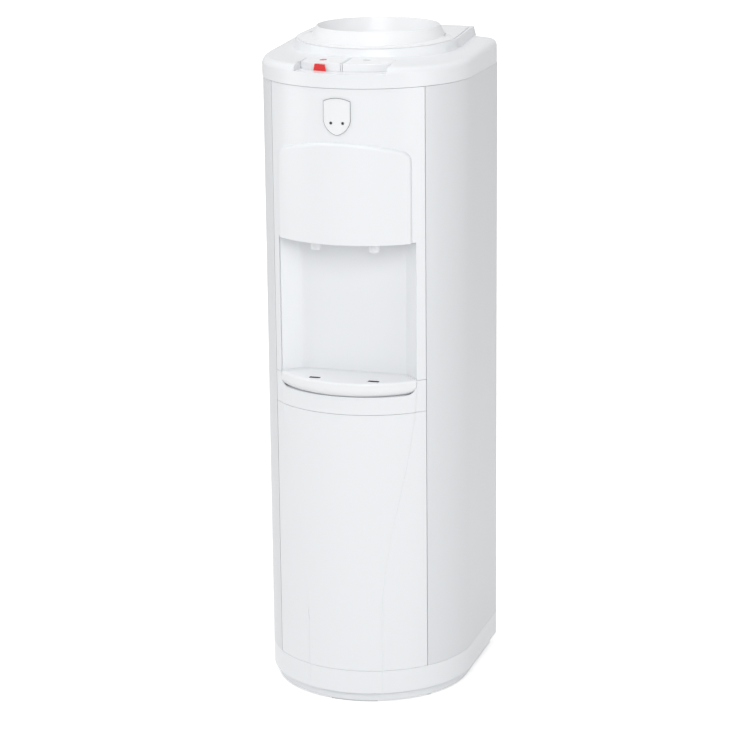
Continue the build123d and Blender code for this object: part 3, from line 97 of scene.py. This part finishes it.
def moulded_skin_group():
    """Moulded plastic or paint: a little colour drift, changing gloss and a shallow orange peel."""
    group, given, out = new_group(
        "moulded_skin",
        [("Color", (0.8, 0.8, 0.8, 1.0)), ("Roughness", 0.3), ("Drift", 0.02), ("Peel Size", 900.0),
         ("Gloss Change", 0.05)],
        [("Color", "NodeSocketColor"), ("Roughness", "NodeSocketFloat"), ("Height", "NodeSocketFloat")])
    link = group.links.new
    place = node(group, "ShaderNodeTexCoord")
    cloud = node(group, "ShaderNodeTexNoise", Scale=3.0, Detail=3.0)
    link(place.outputs["Object"], cloud.inputs["Vector"])
    smear = node(group, "ShaderNodeTexNoise", Scale=22.0, Detail=4.0)
    link(place.outputs["Object"], smear.inputs["Vector"])
    peel = node(group, "ShaderNodeTexNoise", Detail=2.0)
    link(place.outputs["Object"], peel.inputs["Vector"])
    link(given.outputs["Peel Size"], peel.inputs["Scale"])
    centred = node(group, "ShaderNodeMath", operation="SUBTRACT")
    centred.inputs[1].default_value = 0.5
    link(cloud.outputs["Fac"], centred.inputs[0])
    drifted = node(group, "ShaderNodeMath", operation="MULTIPLY_ADD")
    drifted.inputs[2].default_value = 1.0
    link(centred.outputs[0], drifted.inputs[0])
    link(given.outputs["Drift"], drifted.inputs[1])
    tint = node(group, "ShaderNodeVectorMath", operation="SCALE")
    link(given.outputs["Color"], tint.inputs[0])
    link(drifted.outputs[0], tint.inputs["Scale"])
    link(tint.outputs[0], out.inputs["Color"])
    uneven = node(group, "ShaderNodeMath", operation="SUBTRACT")
    uneven.inputs[1].default_value = 0.5
    link(smear.outputs["Fac"], uneven.inputs[0])
    gloss = node(group, "ShaderNodeMath", operation="MULTIPLY_ADD", use_clamp=True)
    link(uneven.outputs[0], gloss.inputs[0])
    link(given.outputs["Gloss Change"], gloss.inputs[1])
    link(given.outputs["Roughness"], gloss.inputs[2])
    link(gloss.outputs[0], out.inputs["Roughness"])
    link(peel.outputs["Fac"], out.inputs["Height"])
    return group


def brushed_metal_group():
    """Drawn or rolled metal: long fine streaks along one axis, with faint stains."""
    group, given, out = new_group(
        "brushed_metal",
        [("Color", (0.7, 0.7, 0.7, 1.0)), ("Roughness", 0.3), ("Along", 4.0), ("Across", 500.0),
         ("Stain", 0.08)],
        [("Color", "NodeSocketColor"), ("Roughness", "NodeSocketFloat"), ("Height", "NodeSocketFloat")])
    link = group.links.new
    place = node(group, "ShaderNodeTexCoord")
    stretch = node(group, "ShaderNodeCombineXYZ")
    for axis, source in (("X", "Across"), ("Y", "Across"), ("Z", "Along")):
        link(given.outputs[source], stretch.inputs[axis])
    scaled = node(group, "ShaderNodeVectorMath", operation="MULTIPLY")
    link(place.outputs["Object"], scaled.inputs[0])
    link(stretch.outputs[0], scaled.inputs[1])
    streak = node(group, "ShaderNodeTexNoise", Scale=1.0, Detail=3.0)
    link(scaled.outputs[0], streak.inputs["Vector"])
    stain = node(group, "ShaderNodeTexNoise", Scale=14.0, Detail=5.0)
    link(place.outputs["Object"], stain.inputs["Vector"])
    centred = node(group, "ShaderNodeMath", operation="SUBTRACT")
    centred.inputs[1].default_value = 0.5
    link(stain.outputs["Fac"], centred.inputs[0])
    drifted = node(group, "ShaderNodeMath", operation="MULTIPLY_ADD")
    drifted.inputs[2].default_value = 1.0
    link(centred.outputs[0], drifted.inputs[0])
    link(given.outputs["Stain"], drifted.inputs[1])
    tint = node(group, "ShaderNodeVectorMath", operation="SCALE")
    link(given.outputs["Color"], tint.inputs[0])
    link(drifted.outputs[0], tint.inputs["Scale"])
    link(tint.outputs[0], out.inputs["Color"])
    gloss = node(group, "ShaderNodeMath", operation="MULTIPLY_ADD", use_clamp=True)
    gloss.inputs[1].default_value = 0.18
    link(streak.outputs["Fac"], gloss.inputs[0])
    link(given.outputs["Roughness"], gloss.inputs[2])
    link(gloss.outputs[0], out.inputs["Roughness"])
    link(streak.outputs["Fac"], out.inputs["Height"])
    return group


def open_cell_group():
    """Foam or felt: small cells that darken and dent the surface."""
    group, given, out = new_group(
        "open_cells",
        [("Color", (0.9, 0.9, 0.85, 1.0)), ("Cell Size", 260.0), ("Depth", 0.25)],
        [("Color", "NodeSocketColor"), ("Height", "NodeSocketFloat")])
    link = group.links.new
    place = node(group, "ShaderNodeTexCoord")
    cells = node(group, "ShaderNodeTexVoronoi")
    link(place.outputs["Object"], cells.inputs["Vector"])
    link(given.outputs["Cell Size"], cells.inputs["Scale"])
    shade = node(group, "ShaderNodeMath", operation="MULTIPLY")
    link(cells.outputs["Distance"], shade.inputs[0])
    link(given.outputs["Depth"], shade.inputs[1])
    light = node(group, "ShaderNodeMath", operation="SUBTRACT", use_clamp=True)
    light.inputs[0].default_value = 1.05
    link(shade.outputs[0], light.inputs[1])
    tint = node(group, "ShaderNodeVectorMath", operation="SCALE")
    link(given.outputs["Color"], tint.inputs[0])
    link(light.outputs[0], tint.inputs["Scale"])
    link(tint.outputs[0], out.inputs["Color"])
    link(cells.outputs["Distance"], out.inputs["Height"])
    return group


MOULDED_SKIN = moulded_skin_group()
BRUSHED_METAL = brushed_metal_group()
OPEN_CELLS = open_cell_group()


# ---------------------------------------------------------------- materials
def shaded(name, group, settings, shader, bump):
    """A material whose group feeds the shader's colour, roughness and bump."""
    material = bpy.data.materials.new(name)
    material.use_nodes = True
    tree = material.node_tree
    surface = tree.nodes["Principled BSDF"]
    effect = tree.nodes.new("ShaderNodeGroup")
    effect.node_tree = group
    for label, value in settings.items():
        effect.inputs[label].default_value = value
    for label, value in shader.items():
        surface.inputs[label].default_value = value
    tree.links.new(effect.outputs["Color"], surface.inputs["Base Color"])
    if "Roughness" in effect.outputs:
        tree.links.new(effect.outputs["Roughness"], surface.inputs["Roughness"])
    relief = tree.nodes.new("ShaderNodeBump")
    relief.inputs["Strength"].default_value = bump[0]
    relief.inputs["Distance"].default_value = bump[1]
    tree.links.new(effect.outputs["Height"], relief.inputs["Height"])
    tree.links.new(relief.outputs["Normal"], surface.inputs["Normal"])
    return material


def plastic(name, color, roughness, drift=0.02, peel=900.0, change=0.06, bump=0.05, coat=0.0):
    return shaded(name, MOULDED_SKIN,
                  {"Color": (*color, 1.0), "Roughness": roughness, "Drift": drift, "Peel Size": peel,
                   "Gloss Change": change},
                  {"Coat Weight": coat, "Coat Roughness": 0.12, "IOR": 1.47}, (bump, 0.0004))


def metal(name, color, roughness, along=4.0, across=500.0, stain=0.08, bump=0.05):
    return shaded(name, BRUSHED_METAL,
                  {"Color": (*color, 1.0), "Roughness": roughness, "Along": along, "Across": across,
                   "Stain": stain},
                  {"Metallic": 1.0}, (bump, 0.0003))


def cellular(name, color, size, depth, bump):
    return shaded(name, OPEN_CELLS, {"Color": (*color, 1.0), "Cell Size": size, "Depth": depth},
                  {"Roughness": 0.9}, (bump, 0.0008))


finishes = {
    "white_panel": plastic("white_panel", (0.795, 0.81, 0.83), 0.33, drift=0.008, coat=0.06),
    "white_parts": plastic("white_parts", (0.82, 0.83, 0.845), 0.32, drift=0.008, coat=0.05),
    "side_paint": plastic("side_paint", (0.71, 0.725, 0.745), 0.34, drift=0.012, peel=1400.0, bump=0.08,
                          coat=0.1),
    "trim_metal": metal("trim_metal", (0.34, 0.35, 0.36), 0.3),
    "red_plastic": plastic("red_plastic", (0.72, 0.02, 0.02), 0.25, coat=0.3),
    "natural_plastic": plastic("natural_plastic", (0.78, 0.78, 0.74), 0.42, peel=600.0, bump=0.08),
    "grey_plastic": plastic("grey_plastic", (0.19, 0.20, 0.21), 0.5, drift=0.05, bump=0.15),
    "spring_steel": metal("spring_steel", (0.55, 0.56, 0.57), 0.22, across=900.0),
    "zinc_steel": metal("zinc_steel", (0.62, 0.64, 0.65), 0.34, along=9.0, across=60.0, stain=0.3),
    "stainless_steel": metal("stainless_steel", (0.66, 0.66, 0.65), 0.24),
    "copper": metal("copper", (0.80, 0.42, 0.28), 0.26, along=60.0, across=200.0, stain=0.35),
    "foam": cellular("foam", (0.86, 0.86, 0.82), 320.0, 0.35, 0.35),
    "jacket_felt": cellular("jacket_felt", (0.70, 0.67, 0.60), 700.0, 0.8, 0.6),
    "silicone": plastic("silicone", (0.78, 0.78, 0.75), 0.45, bump=0.06),
    "pale_plastic": plastic("pale_plastic", (0.62, 0.63, 0.64), 0.5, drift=0.03, bump=0.1),
    "black_rubber": plastic("black_rubber", (0.025, 0.025, 0.026), 0.68, drift=0.2, peel=500.0, bump=0.3),
    "black_paint": plastic("black_paint", (0.022, 0.022, 0.023), 0.36, drift=0.2, peel=700.0, bump=0.2),
    "black_plastic": plastic("black_plastic", (0.03, 0.03, 0.031), 0.5, drift=0.1, bump=0.15),
    "red_rocker": plastic("red_rocker", (0.5, 0.02, 0.015), 0.3),
    "green_rocker": plastic("green_rocker", (0.02, 0.24, 0.05), 0.3),
    "white_cap": plastic("white_cap", (0.77, 0.77, 0.75), 0.42, bump=0.1),
    "circuit_board": plastic("circuit_board", (0.02, 0.16, 0.05), 0.35, drift=0.15, peel=300.0, bump=0.2),
    "light_lens": plastic("light_lens", (0.035, 0.03, 0.03), 0.12, coat=0.5),
}


# ---------------------------------------------------------------- how pieces are finished
BOTTLE_Y = 0.048            # the bottle collar's axis
BODY_RADIUS = 0.155         # of the rounded front
SEAT_FRONT = (-0.063, 0.970)        # y and height of the front edge of the raised seat
SEAT_TILT = math.radians(1.9)       # it rises to the back


def deselect_all():
    for piece in bpy.context.view_layer.objects:
        piece.select_set(False)


def make_active(piece):
    deselect_all()
    piece.select_set(True)
    bpy.context.view_layer.objects.active = piece


def apply_modifier(piece, kind, **values):
    make_active(piece)
    modifier = piece.modifiers.new(kind.lower(), kind)
    for key, value in values.items():
        setattr(modifier, key, value)
    bpy.ops.object.modifier_apply(modifier=modifier.name)


def pick(piece, test):
    """Goes to edit mode with only the points selected that pass the test."""
    make_active(piece)
    bpy.ops.object.mode_set(mode="EDIT")
    bpy.ops.mesh.select_mode(type="VERT")
    bpy.ops.mesh.select_all(action="DESELECT")
    bpy.ops.object.mode_set(mode="OBJECT")
    for point in piece.data.vertices:
        point.select = bool(test(point.co))
    bpy.ops.object.mode_set(mode="EDIT")


def pick_faces(piece, test):
    """Goes to edit mode with only the faces selected that pass the test."""
    make_active(piece)
    bpy.ops.object.mode_set(mode="EDIT")
    bpy.ops.mesh.select_mode(type="FACE")
    bpy.ops.mesh.select_all(action="DESELECT")
    bpy.ops.object.mode_set(mode="OBJECT")
    for face in piece.data.polygons:
        face.select = bool(test(face))
    bpy.ops.object.mode_set(mode="EDIT")


def bake_place(piece):
    """The object ends at the origin, with its place in its mesh."""
    make_active(piece)
    bpy.ops.object.transform_apply(location=True, rotation=True, scale=True)


def smooth(piece, angle=30.0):
    make_active(piece)
    bpy.ops.object.shade_smooth_by_angle(angle=math.radians(angle))


def finish(piece, material):
    piece.data.materials.clear()
    piece.data.materials.append(material)


def fit(piece, name, body, slot, rounding=0.0, angle=30.0):
    """The last steps for a new piece: soft edges, smooth shading, finish and body."""
    piece.name = name
    if rounding:
        apply_modifier(piece, "BEVEL", width=rounding, segments=3, limit_method="ANGLE",
                       angle_limit=math.radians(angle))
    smooth(piece, angle)
    finish(piece, finishes[slot])
    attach(piece, body)
    return piece


def merged_copy(name):
    """A copy of a CAD node with its loose triangles joined."""
    piece = bpy.data.objects.new(name + "_skin", nodes[name].data.copy())
    bpy.context.scene.collection.objects.link(piece)
    make_active(piece)
    bpy.ops.object.mode_set(mode="EDIT")
    bpy.ops.mesh.select_all(action="SELECT")
    bpy.ops.mesh.remove_doubles(threshold=0.00001)
    bpy.ops.mesh.dissolve_limited(angle_limit=math.radians(0.3))
    bpy.ops.object.mode_set(mode="OBJECT")
    return piece


def dressed(name, rounding, reshape=None, angle=30.0, look=None):
    """A copy of a frame node with softened edges and smooth shading, which stands for that node."""
    piece = merged_copy(name)
    if reshape:
        reshape(piece)
    apply_modifier(piece, "BEVEL", width=rounding, segments=3, limit_method="ANGLE",
                   angle_limit=math.radians(angle), use_clamp_overlap=True, harden_normals=False)
    smooth(piece, angle)
    apply_modifier(piece, "WEIGHTED_NORMAL", keep_sharp=True)
    finish(piece, finishes[look or slot_of[name]])
    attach(piece, body_of[name])
    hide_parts(name)
    return piece


def seat_height(y):
    """Height of the raised seat's tilted top."""
    return SEAT_FRONT[1] + (y - SEAT_FRONT[0]) * math.tan(SEAT_TILT)


def steepen_seat(piece):
    """The raised seat's walls stand nearly upright: all but their feet move out towards the foot."""
    for point in piece.data.vertices:
        x, y, z = point.co
        drop = seat_height(y) - z
        if not -0.00015 < drop < 0.009:
            continue
        along = max(0.0, y - BOTTLE_Y)
        away = abs(x) if along else math.hypot(x, y - BOTTLE_Y)
        if abs(away - 0.111 - (0.976 - z) * 0.8) > 0.0007:
            continue
        reach = 0.1218 - 0.0395 * along + 0.22 * drop
        if along:
            point.co.x = math.copysign(reach, x)
        else:
            point.co.x = x * reach / away
            point.co.y = BOTTLE_Y + (y - BOTTLE_Y) * reach / away
            point.co.z = seat_height(point.co.y) - drop


for name, cad_node in nodes.items():
    finish(cad_node, finishes[slot_of[name]])

# ---------------------------------------------------------------- the moulded shells
dressed("top_cover", 0.0005, steepen_seat)
dressed("bottle_collar", 0.0004)
softened = {"upper_front_panel": 0.0005, "lower_front_panel": 0.0005, "tray_band": 0.0004, "base": 0.0005,
            "drip_tray": 0.0004, "tray_plate": 0.0004,
            "alcove_liner": 0.0004, "left_side_panel": 0.0003, "right_side_panel": 0.0003,
            "cold_button": 0.0003, "hot_button": 0.0003, "child_lock": 0.0002, "tap_bodies": 0.0004,
            "indicator_plate": 0.0002, "indicator_lights": 0.0002, "feed_probe": 0.0003}
for name, rounding in softened.items():
    dressed(name, rounding)


# ---------------------------------------------------------------- the collar's flange
def collar_flange():
    """D-shaped plate under the collar's cone: round in front, straight sides that close in to the back."""
    deselect_all()
    start = BOTTLE_Y - SEAT_FRONT[0]
    bpy.ops.mesh.primitive_circle_add(vertices=128, radius=0.119, fill_type="NOTHING",
                                      location=(0.0, start, 0.0))
    piece = bpy.context.object
    bake_place(piece)
    pick(piece, lambda co: co.y > start + 0.0005)
    bpy.ops.mesh.delete(type="VERT")
    bpy.ops.object.mode_set(mode="OBJECT")
    pick(piece, lambda co: co.y > start - 0.0005)
    bpy.ops.mesh.extrude_vertices_move(TRANSFORM_OT_translate={"value": (0.0, 0.102, 0.0)})
    bpy.ops.transform.resize(value=(0.945, 1.0, 1.0), center_override=(0.0, start + 0.102, 0.0))
    bpy.ops.mesh.edge_face_add()
    bpy.ops.mesh.bevel(offset=0.012, segments=8, affect="VERTICES")
    bpy.ops.mesh.primitive_circle_add(vertices=128, radius=0.0965, fill_type="NOTHING",
                                      location=(0.0, start, 0.0))
    bpy.ops.mesh.select_all(action="SELECT")
    bpy.ops.mesh.bridge_edge_loops()
    bpy.ops.object.mode_set(mode="OBJECT")
    if piece.data.polygons[0].normal.z < 0:
        pick(piece, lambda co: True)
        bpy.ops.mesh.flip_normals()
        bpy.ops.object.mode_set(mode="OBJECT")
    apply_modifier(piece, "SOLIDIFY", thickness=0.0012, offset=1.0)
    piece.rotation_euler = (SEAT_TILT, 0.0, 0.0)
    piece.location = (0.0, SEAT_FRONT[0], SEAT_FRONT[1] + 0.0002)
    bake_place(piece)
    fit(piece, "collar_flange", "bottle_collar", "white_parts", rounding=0.00045, angle=40.0)


collar_flange()


# ---------------------------------------------------------------- under the cover's overhang at the back
def cover_back_ledge():
    """Turned-in strip that closes the cover from below, between its back wall and the rear panel."""
    half_width, front, back = 0.1535, 0.1372, 0.1537
    bottom, thick, turned_up = 0.9254, 0.0012, 0.008
    deselect_all()
    bpy.ops.mesh.primitive_cube_add(size=1.0, location=(0.0, (front + back) / 2, bottom + thick / 2))
    piece = bpy.context.object
    piece.scale = (2 * half_width, back - front, thick)
    bake_place(piece)
    pick(piece, lambda co: True)
    bpy.ops.mesh.bisect(plane_co=(0.0, front + thick, 0.0), plane_no=(0.0, 1.0, 0.0))
    bpy.ops.object.mode_set(mode="OBJECT")
    pick_faces(piece, lambda face: face.normal.z > 0.9 and face.center.y < front + thick)
    bpy.ops.mesh.extrude_region_move(TRANSFORM_OT_translate={"value": (0.0, 0.0, turned_up)})
    bpy.ops.object.mode_set(mode="OBJECT")
    return fit(piece, "cover_back_ledge", "cabinet", "white_panel", rounding=0.0003)


cover_back_ledge()


# ---------------------------------------------------------------- the centre field's soft edges
def crease_ramps(name):
    """Shallow ramps beside the raised centre field, so that its edges fade into the panel."""
    crest_radius = BODY_RADIUS + 0.0009
    points = {(round(v.co.x, 6), round(v.co.y, 6), round(v.co.z, 6)) for v in nodes[name].data.vertices}
    crests = [p for p in points if abs(math.hypot(p[0], p[1]) - crest_radius) < 0.00006 and p[1] < 0]
    feet = [p for p in points if abs(math.hypot(p[0], p[1]) - BODY_RADIUS) < 0.00006 and p[1] < 0]
    section = ((crest_radius, 0.0), (BODY_RADIUS - 0.00008, 0.0034), (BODY_RADIUS - 0.0003, 0.0))
    verts, faces = [], []
    for side in (-1, 1):
        rail = sorted((p[2], p[0]) for p in crests if p[0] * side > 0
                      and any(abs(p[0] - q[0]) < 0.00003 and abs(p[2] - q[2]) < 0.00003 for q in feet))
        first = len(verts)
        rows = 0
        for height, across in rail:
            turn = math.asin(across / crest_radius)
            for radius, shift in section:
                bearing = turn + side * shift / BODY_RADIUS
                verts.append((radius * math.sin(bearing), -radius * math.cos(bearing), height))
            rows += 1
        for row in range(rows - 1):
            low = first + 3 * row
            for a, b in ((0, 1), (1, 2), (2, 0)):
                loop = (low + a, low + b, low + b + 3, low + a + 3)
                faces.append(loop if side > 0 else loop[::-1])
        if rows:
            last = first + 3 * rows - 3
            faces.append((first + 2, first + 1, first) if side > 0 else (first, first + 1, first + 2))
            faces.append((last, last + 1, last + 2) if side > 0 else (last + 2, last + 1, last))
    mesh = bpy.data.meshes.new(name + "_edges")
    mesh.from_pydata(verts, [], faces)
    mesh.update()
    piece = bpy.data.objects.new(name + "_edges", mesh)
    bpy.context.scene.collection.objects.link(piece)
    return fit(piece, name + "_edges", "cabinet", "white_panel")


for name in ("base", "lower_front_panel", "tray_band"):
    crease_ramps(name)


# ---------------------------------------------------------------- small trim on the front
def shield_trim():
    """Dark metal rim that the shield-shaped indicator plate sits in."""
    piece = merged_copy("indicator_plate")
    low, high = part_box("indicator_plate")
    middle = (low[2] + high[2]) / 2
    pick(piece, lambda co: True)
    rim = 0.0008
    grow = (1 + rim / high[0], 1.0, 1 + rim / (high[2] - middle))
    bpy.ops.transform.resize(value=grow, center_override=(0.0, 0.0, middle))
    bpy.ops.transform.translate(value=(0.0, 0.0003, 0.0))
    bpy.ops.object.mode_set(mode="OBJECT")
    fit(piece, "shield_trim", "cabinet", "stainless_steel", rounding=0.00025)
    finish(piece, finishes["trim_metal"])


def button_mark(name, button, centre, size, slot):
    """Thin oval pad on a button's top that tells hot from cold."""
    deselect_all()
    bpy.ops.mesh.primitive_cylinder_add(vertices=40, radius=1.0, depth=0.0006,
                                        location=(centre[0], centre[1], 0.0))
    piece = bpy.context.object
    piece.scale = (size[0] / 2, size[1] / 2, 1.0)
    bake_place(piece)
    pick_faces(piece, lambda face: face.normal.z > 0.9)
    bpy.ops.mesh.inset(thickness=0.0012)
    bpy.ops.mesh.inset(thickness=0.0006, depth=-0.0001)
    bpy.ops.object.mode_set(mode="OBJECT")
    shell = nodes[button].data
    top = BVHTree.FromPolygons([v.co for v in shell.vertices],
                               [tuple(face.vertices) for face in shell.polygons])
    for point in piece.data.vertices:
        place, _, _, _ = top.ray_cast(Vector((point.co.x, point.co.y, 1.2)), Vector((0.0, 0.0, -1.0)))
        point.co.z += place.z
    return fit(piece, name, button, slot, rounding=0.00008)


shield_trim()
button_mark("hot_mark", "hot_button", (-0.0355, -0.1045), (0.0105, 0.0095), "red_plastic")
button_mark("cold_mark", "cold_button", (0.0275, -0.0990), (0.0110, 0.0075), "pale_plastic")


# ---------------------------------------------------------------- drain slots of the tray plate
def slot_shade_frame(name, x):
    """Open frame in black plastic that lines the walls of a drain slot, as painted shade for the dark
    inside of the slot; water still runs through it.
    """
    length, width, wall, below_top, tall = 0.0168, 0.0078, 0.0007, 0.0003, 0.0012
    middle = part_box("tray_plate")[1][2] - below_top - tall / 2
    deselect_all()
    bpy.ops.mesh.primitive_cube_add(size=1.0, location=(x, 0.018 - BODY_RADIUS, middle))
    piece = bpy.context.object
    piece.scale = (length, width, tall)
    bake_place(piece)
    pick_faces(piece, lambda face: abs(face.normal.z) > 0.9)
    bpy.ops.mesh.inset(thickness=wall, use_individual=True)
    bpy.ops.mesh.bridge_edge_loops()
    bpy.ops.mesh.select_all(action="SELECT")
    bpy.ops.mesh.normals_make_consistent(inside=False)
    bpy.ops.object.mode_set(mode="OBJECT")
    # black_plastic here is painted shade: the inside of the slot is dark from shadow, not from a part of
    # its own.
    return fit(piece, name, "tray_plate", "black_plastic", rounding=0.0001)


slot_shade_frame("slot_lining_hot", -0.045)
slot_shade_frame("slot_lining_cold", 0.045)


# ---------------------------------------------------------------- springs and the evaporator
def coil(name, wire, turns):
    """Round wire wound about a vertical axis, in the space of the plain sleeve that it replaces."""
    low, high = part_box(name)
    radius = (high[0] - low[0]) / 2 - wire
    deselect_all()
    bpy.ops.mesh.primitive_circle_add(vertices=10, radius=wire, fill_type="NOTHING",
                                      location=(radius, 0.0, 0.0), rotation=(math.pi / 2, 0.0, 0.0))
    piece = bpy.context.object
    bake_place(piece)
    pitch = (high[2] - low[2] - 2 * wire) / turns
    apply_modifier(piece, "SCREW", axis="Z", angle=2 * math.pi, screw_offset=pitch, iterations=turns,
                   steps=28, render_steps=28)
    pick(piece, lambda co: True)
    bpy.ops.mesh.fill_holes(sides=12)
    bpy.ops.mesh.select_all(action="SELECT")
    bpy.ops.mesh.normals_make_consistent(inside=False)
    bpy.ops.object.mode_set(mode="OBJECT")
    piece.location = ((low[0] + high[0]) / 2, (low[1] + high[1]) / 2, low[2] + wire)
    bake_place(piece)
    fit(piece, name + "_wound", body_of[name], slot_of[name], angle=60.0)
    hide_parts(name)
    return piece


coil("evaporator_coil", 0.0029, 12)
for side in ("cold", "hot"):
    for spring, wire, turns in (("_button_spring", 0.0007, 8), ("_tap_spring", 0.0006, 6)):
        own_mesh(coil(side + spring, wire, turns))


# ---------------------------------------------------------------- floor, light and camera
def floor_material():
    """Pale floor that looks white from everywhere and still takes the object's shadow."""
    material = bpy.data.materials.new("pale_floor")
    material.use_nodes = True
    tree = material.node_tree
    surface = tree.nodes["Principled BSDF"]
    surface.inputs["Base Color"].default_value = (0.82, 0.82, 0.82, 1.0)
    surface.inputs["Roughness"].default_value = 0.9
    surface.inputs["Specular IOR Level"].default_value = 0.0
    seen = tree.nodes.new("ShaderNodeLightPath")
    lift = tree.nodes.new("ShaderNodeEmission")
    lift.inputs["Color"].default_value = (1.0, 1.0, 1.0, 1.0)
    place = tree.nodes.new("ShaderNodeTexCoord")
    distance = tree.nodes.new("ShaderNodeVectorMath")
    distance.operation = "LENGTH"
    tree.links.new(place.outputs["Object"], distance.inputs[0])
    spread = tree.nodes.new("ShaderNodeMapRange")
    for label, value in (("From Min", 0.4), ("From Max", 3.0), ("To Min", 0.5), ("To Max", 1.0)):
        spread.inputs[label].default_value = value
    tree.links.new(distance.outputs["Value"], spread.inputs["Value"])
    direct = tree.nodes.new("ShaderNodeMath")
    direct.operation = "MAXIMUM"
    tree.links.new(seen.outputs["Is Camera Ray"], direct.inputs[0])
    tree.links.new(seen.outputs["Is Transmission Ray"], direct.inputs[1])
    weight = tree.nodes.new("ShaderNodeMath")
    weight.operation = "MULTIPLY"
    tree.links.new(direct.outputs[0], weight.inputs[0])
    tree.links.new(spread.outputs["Result"], weight.inputs[1])
    mirrored = tree.nodes.new("ShaderNodeMath")
    mirrored.operation = "MULTIPLY_ADD"
    mirrored.inputs[1].default_value = 0.3
    tree.links.new(seen.outputs["Is Glossy Ray"], mirrored.inputs[0])
    tree.links.new(weight.outputs[0], mirrored.inputs[2])
    tree.links.new(mirrored.outputs[0], lift.inputs["Strength"])
    both = tree.nodes.new("ShaderNodeAddShader")
    tree.links.new(surface.outputs[0], both.inputs[0])
    tree.links.new(lift.outputs[0], both.inputs[1])
    tree.links.new(both.outputs[0], tree.nodes["Material Output"].inputs["Surface"])
    return material


deselect_all()
bpy.ops.mesh.primitive_plane_add(size=60.0, location=(0.0, 0.0, 0.0))
floor = bpy.context.object
floor.name = "studio_floor"
bake_place(floor)
finish(floor, floor_material())


def studio_sky():
    """Even pale light from all round; looked at directly it is plain white."""
    room_light, mirrored = 0.445, 0.25
    sky = bpy.data.worlds.new("studio_sky")
    sky.use_nodes = True
    tree = sky.node_tree
    glow = tree.nodes["Background"]
    glow.inputs["Color"].default_value = (1.0, 1.0, 1.0, 1.0)
    seen = tree.nodes.new("ShaderNodeLightPath")
    direct = tree.nodes.new("ShaderNodeMath")
    direct.operation = "MAXIMUM"
    tree.links.new(seen.outputs["Is Camera Ray"], direct.inputs[0])
    tree.links.new(seen.outputs["Is Transmission Ray"], direct.inputs[1])
    plain = tree.nodes.new("ShaderNodeMath")
    plain.operation = "MULTIPLY_ADD"
    plain.inputs[1].default_value = 1.0 - room_light
    plain.inputs[2].default_value = room_light
    tree.links.new(direct.outputs[0], plain.inputs[0])
    glossy = tree.nodes.new("ShaderNodeMath")
    glossy.operation = "MULTIPLY_ADD"
    glossy.inputs[1].default_value = mirrored
    tree.links.new(seen.outputs["Is Glossy Ray"], glossy.inputs[0])
    tree.links.new(plain.outputs[0], glossy.inputs[2])
    tree.links.new(glossy.outputs[0], glow.inputs["Strength"])
    bpy.context.scene.world = sky


studio_sky()


def soft_box(name, place, aim, size, power):
    lamp = bpy.data.lights.new(name, "AREA")
    lamp.shape = "RECTANGLE"
    lamp.size, lamp.size_y = size
    lamp.energy = power
    holder = bpy.data.objects.new(name, lamp)
    holder.location = place
    holder.rotation_euler = (Vector(aim) - Vector(place)).to_track_quat("-Z", "Y").to_euler()
    bpy.context.scene.collection.objects.link(holder)


soft_box("key_front", (1.0, -3.8, 2.7), (0.0, 0.0, 0.5), (2.6, 2.2), 76.0)
soft_box("top_fill", (-0.9, -0.3, 4.2), (0.0, 0.0, 0.9), (2.8, 2.8), 57.0)
soft_box("right_fill", (4.2, -1.6, 1.0), (0.0, 0.0, 0.5), (2.4, 2.0), 36.0)
soft_box("left_fill", (-4.2, -1.6, 1.0), (0.0, 0.0, 0.5), (2.4, 2.0), 33.0)

PHOTO_PIXELS = 736.0         # the photograph's width
FOCAL_PIXELS = 2613.0        # of the camera fitted to it

azimuth, elevation, roll = math.radians(17.36), math.radians(14.87), math.radians(-0.60)
toward_eye = Vector((math.sin(azimuth) * math.cos(elevation), -math.cos(azimuth) * math.cos(elevation),
                     math.sin(elevation)))
level = Vector((math.cos(azimuth), math.sin(azimuth), 0.0))
upright = toward_eye.cross(level)
right = math.cos(roll) * level + math.sin(roll) * upright
up = math.cos(roll) * upright - math.sin(roll) * level
eye = bpy.data.cameras.new("photo_camera")
eye.sensor_width = 36.0
eye.lens = FOCAL_PIXELS / PHOTO_PIXELS * eye.sensor_width
eye.clip_end = 100.0
camera = bpy.data.objects.new("photo_camera", eye)
camera.matrix_world = Matrix.Translation(Vector((0.0423, -0.155, 0.5212)) + 3.769 * toward_eye) @ \
    Matrix((right, up, toward_eye)).transposed().to_4x4()
bpy.context.scene.collection.objects.link(camera)
bpy.context.scene.camera = camera
bpy.context.scene.view_settings.view_transform = "Standard"
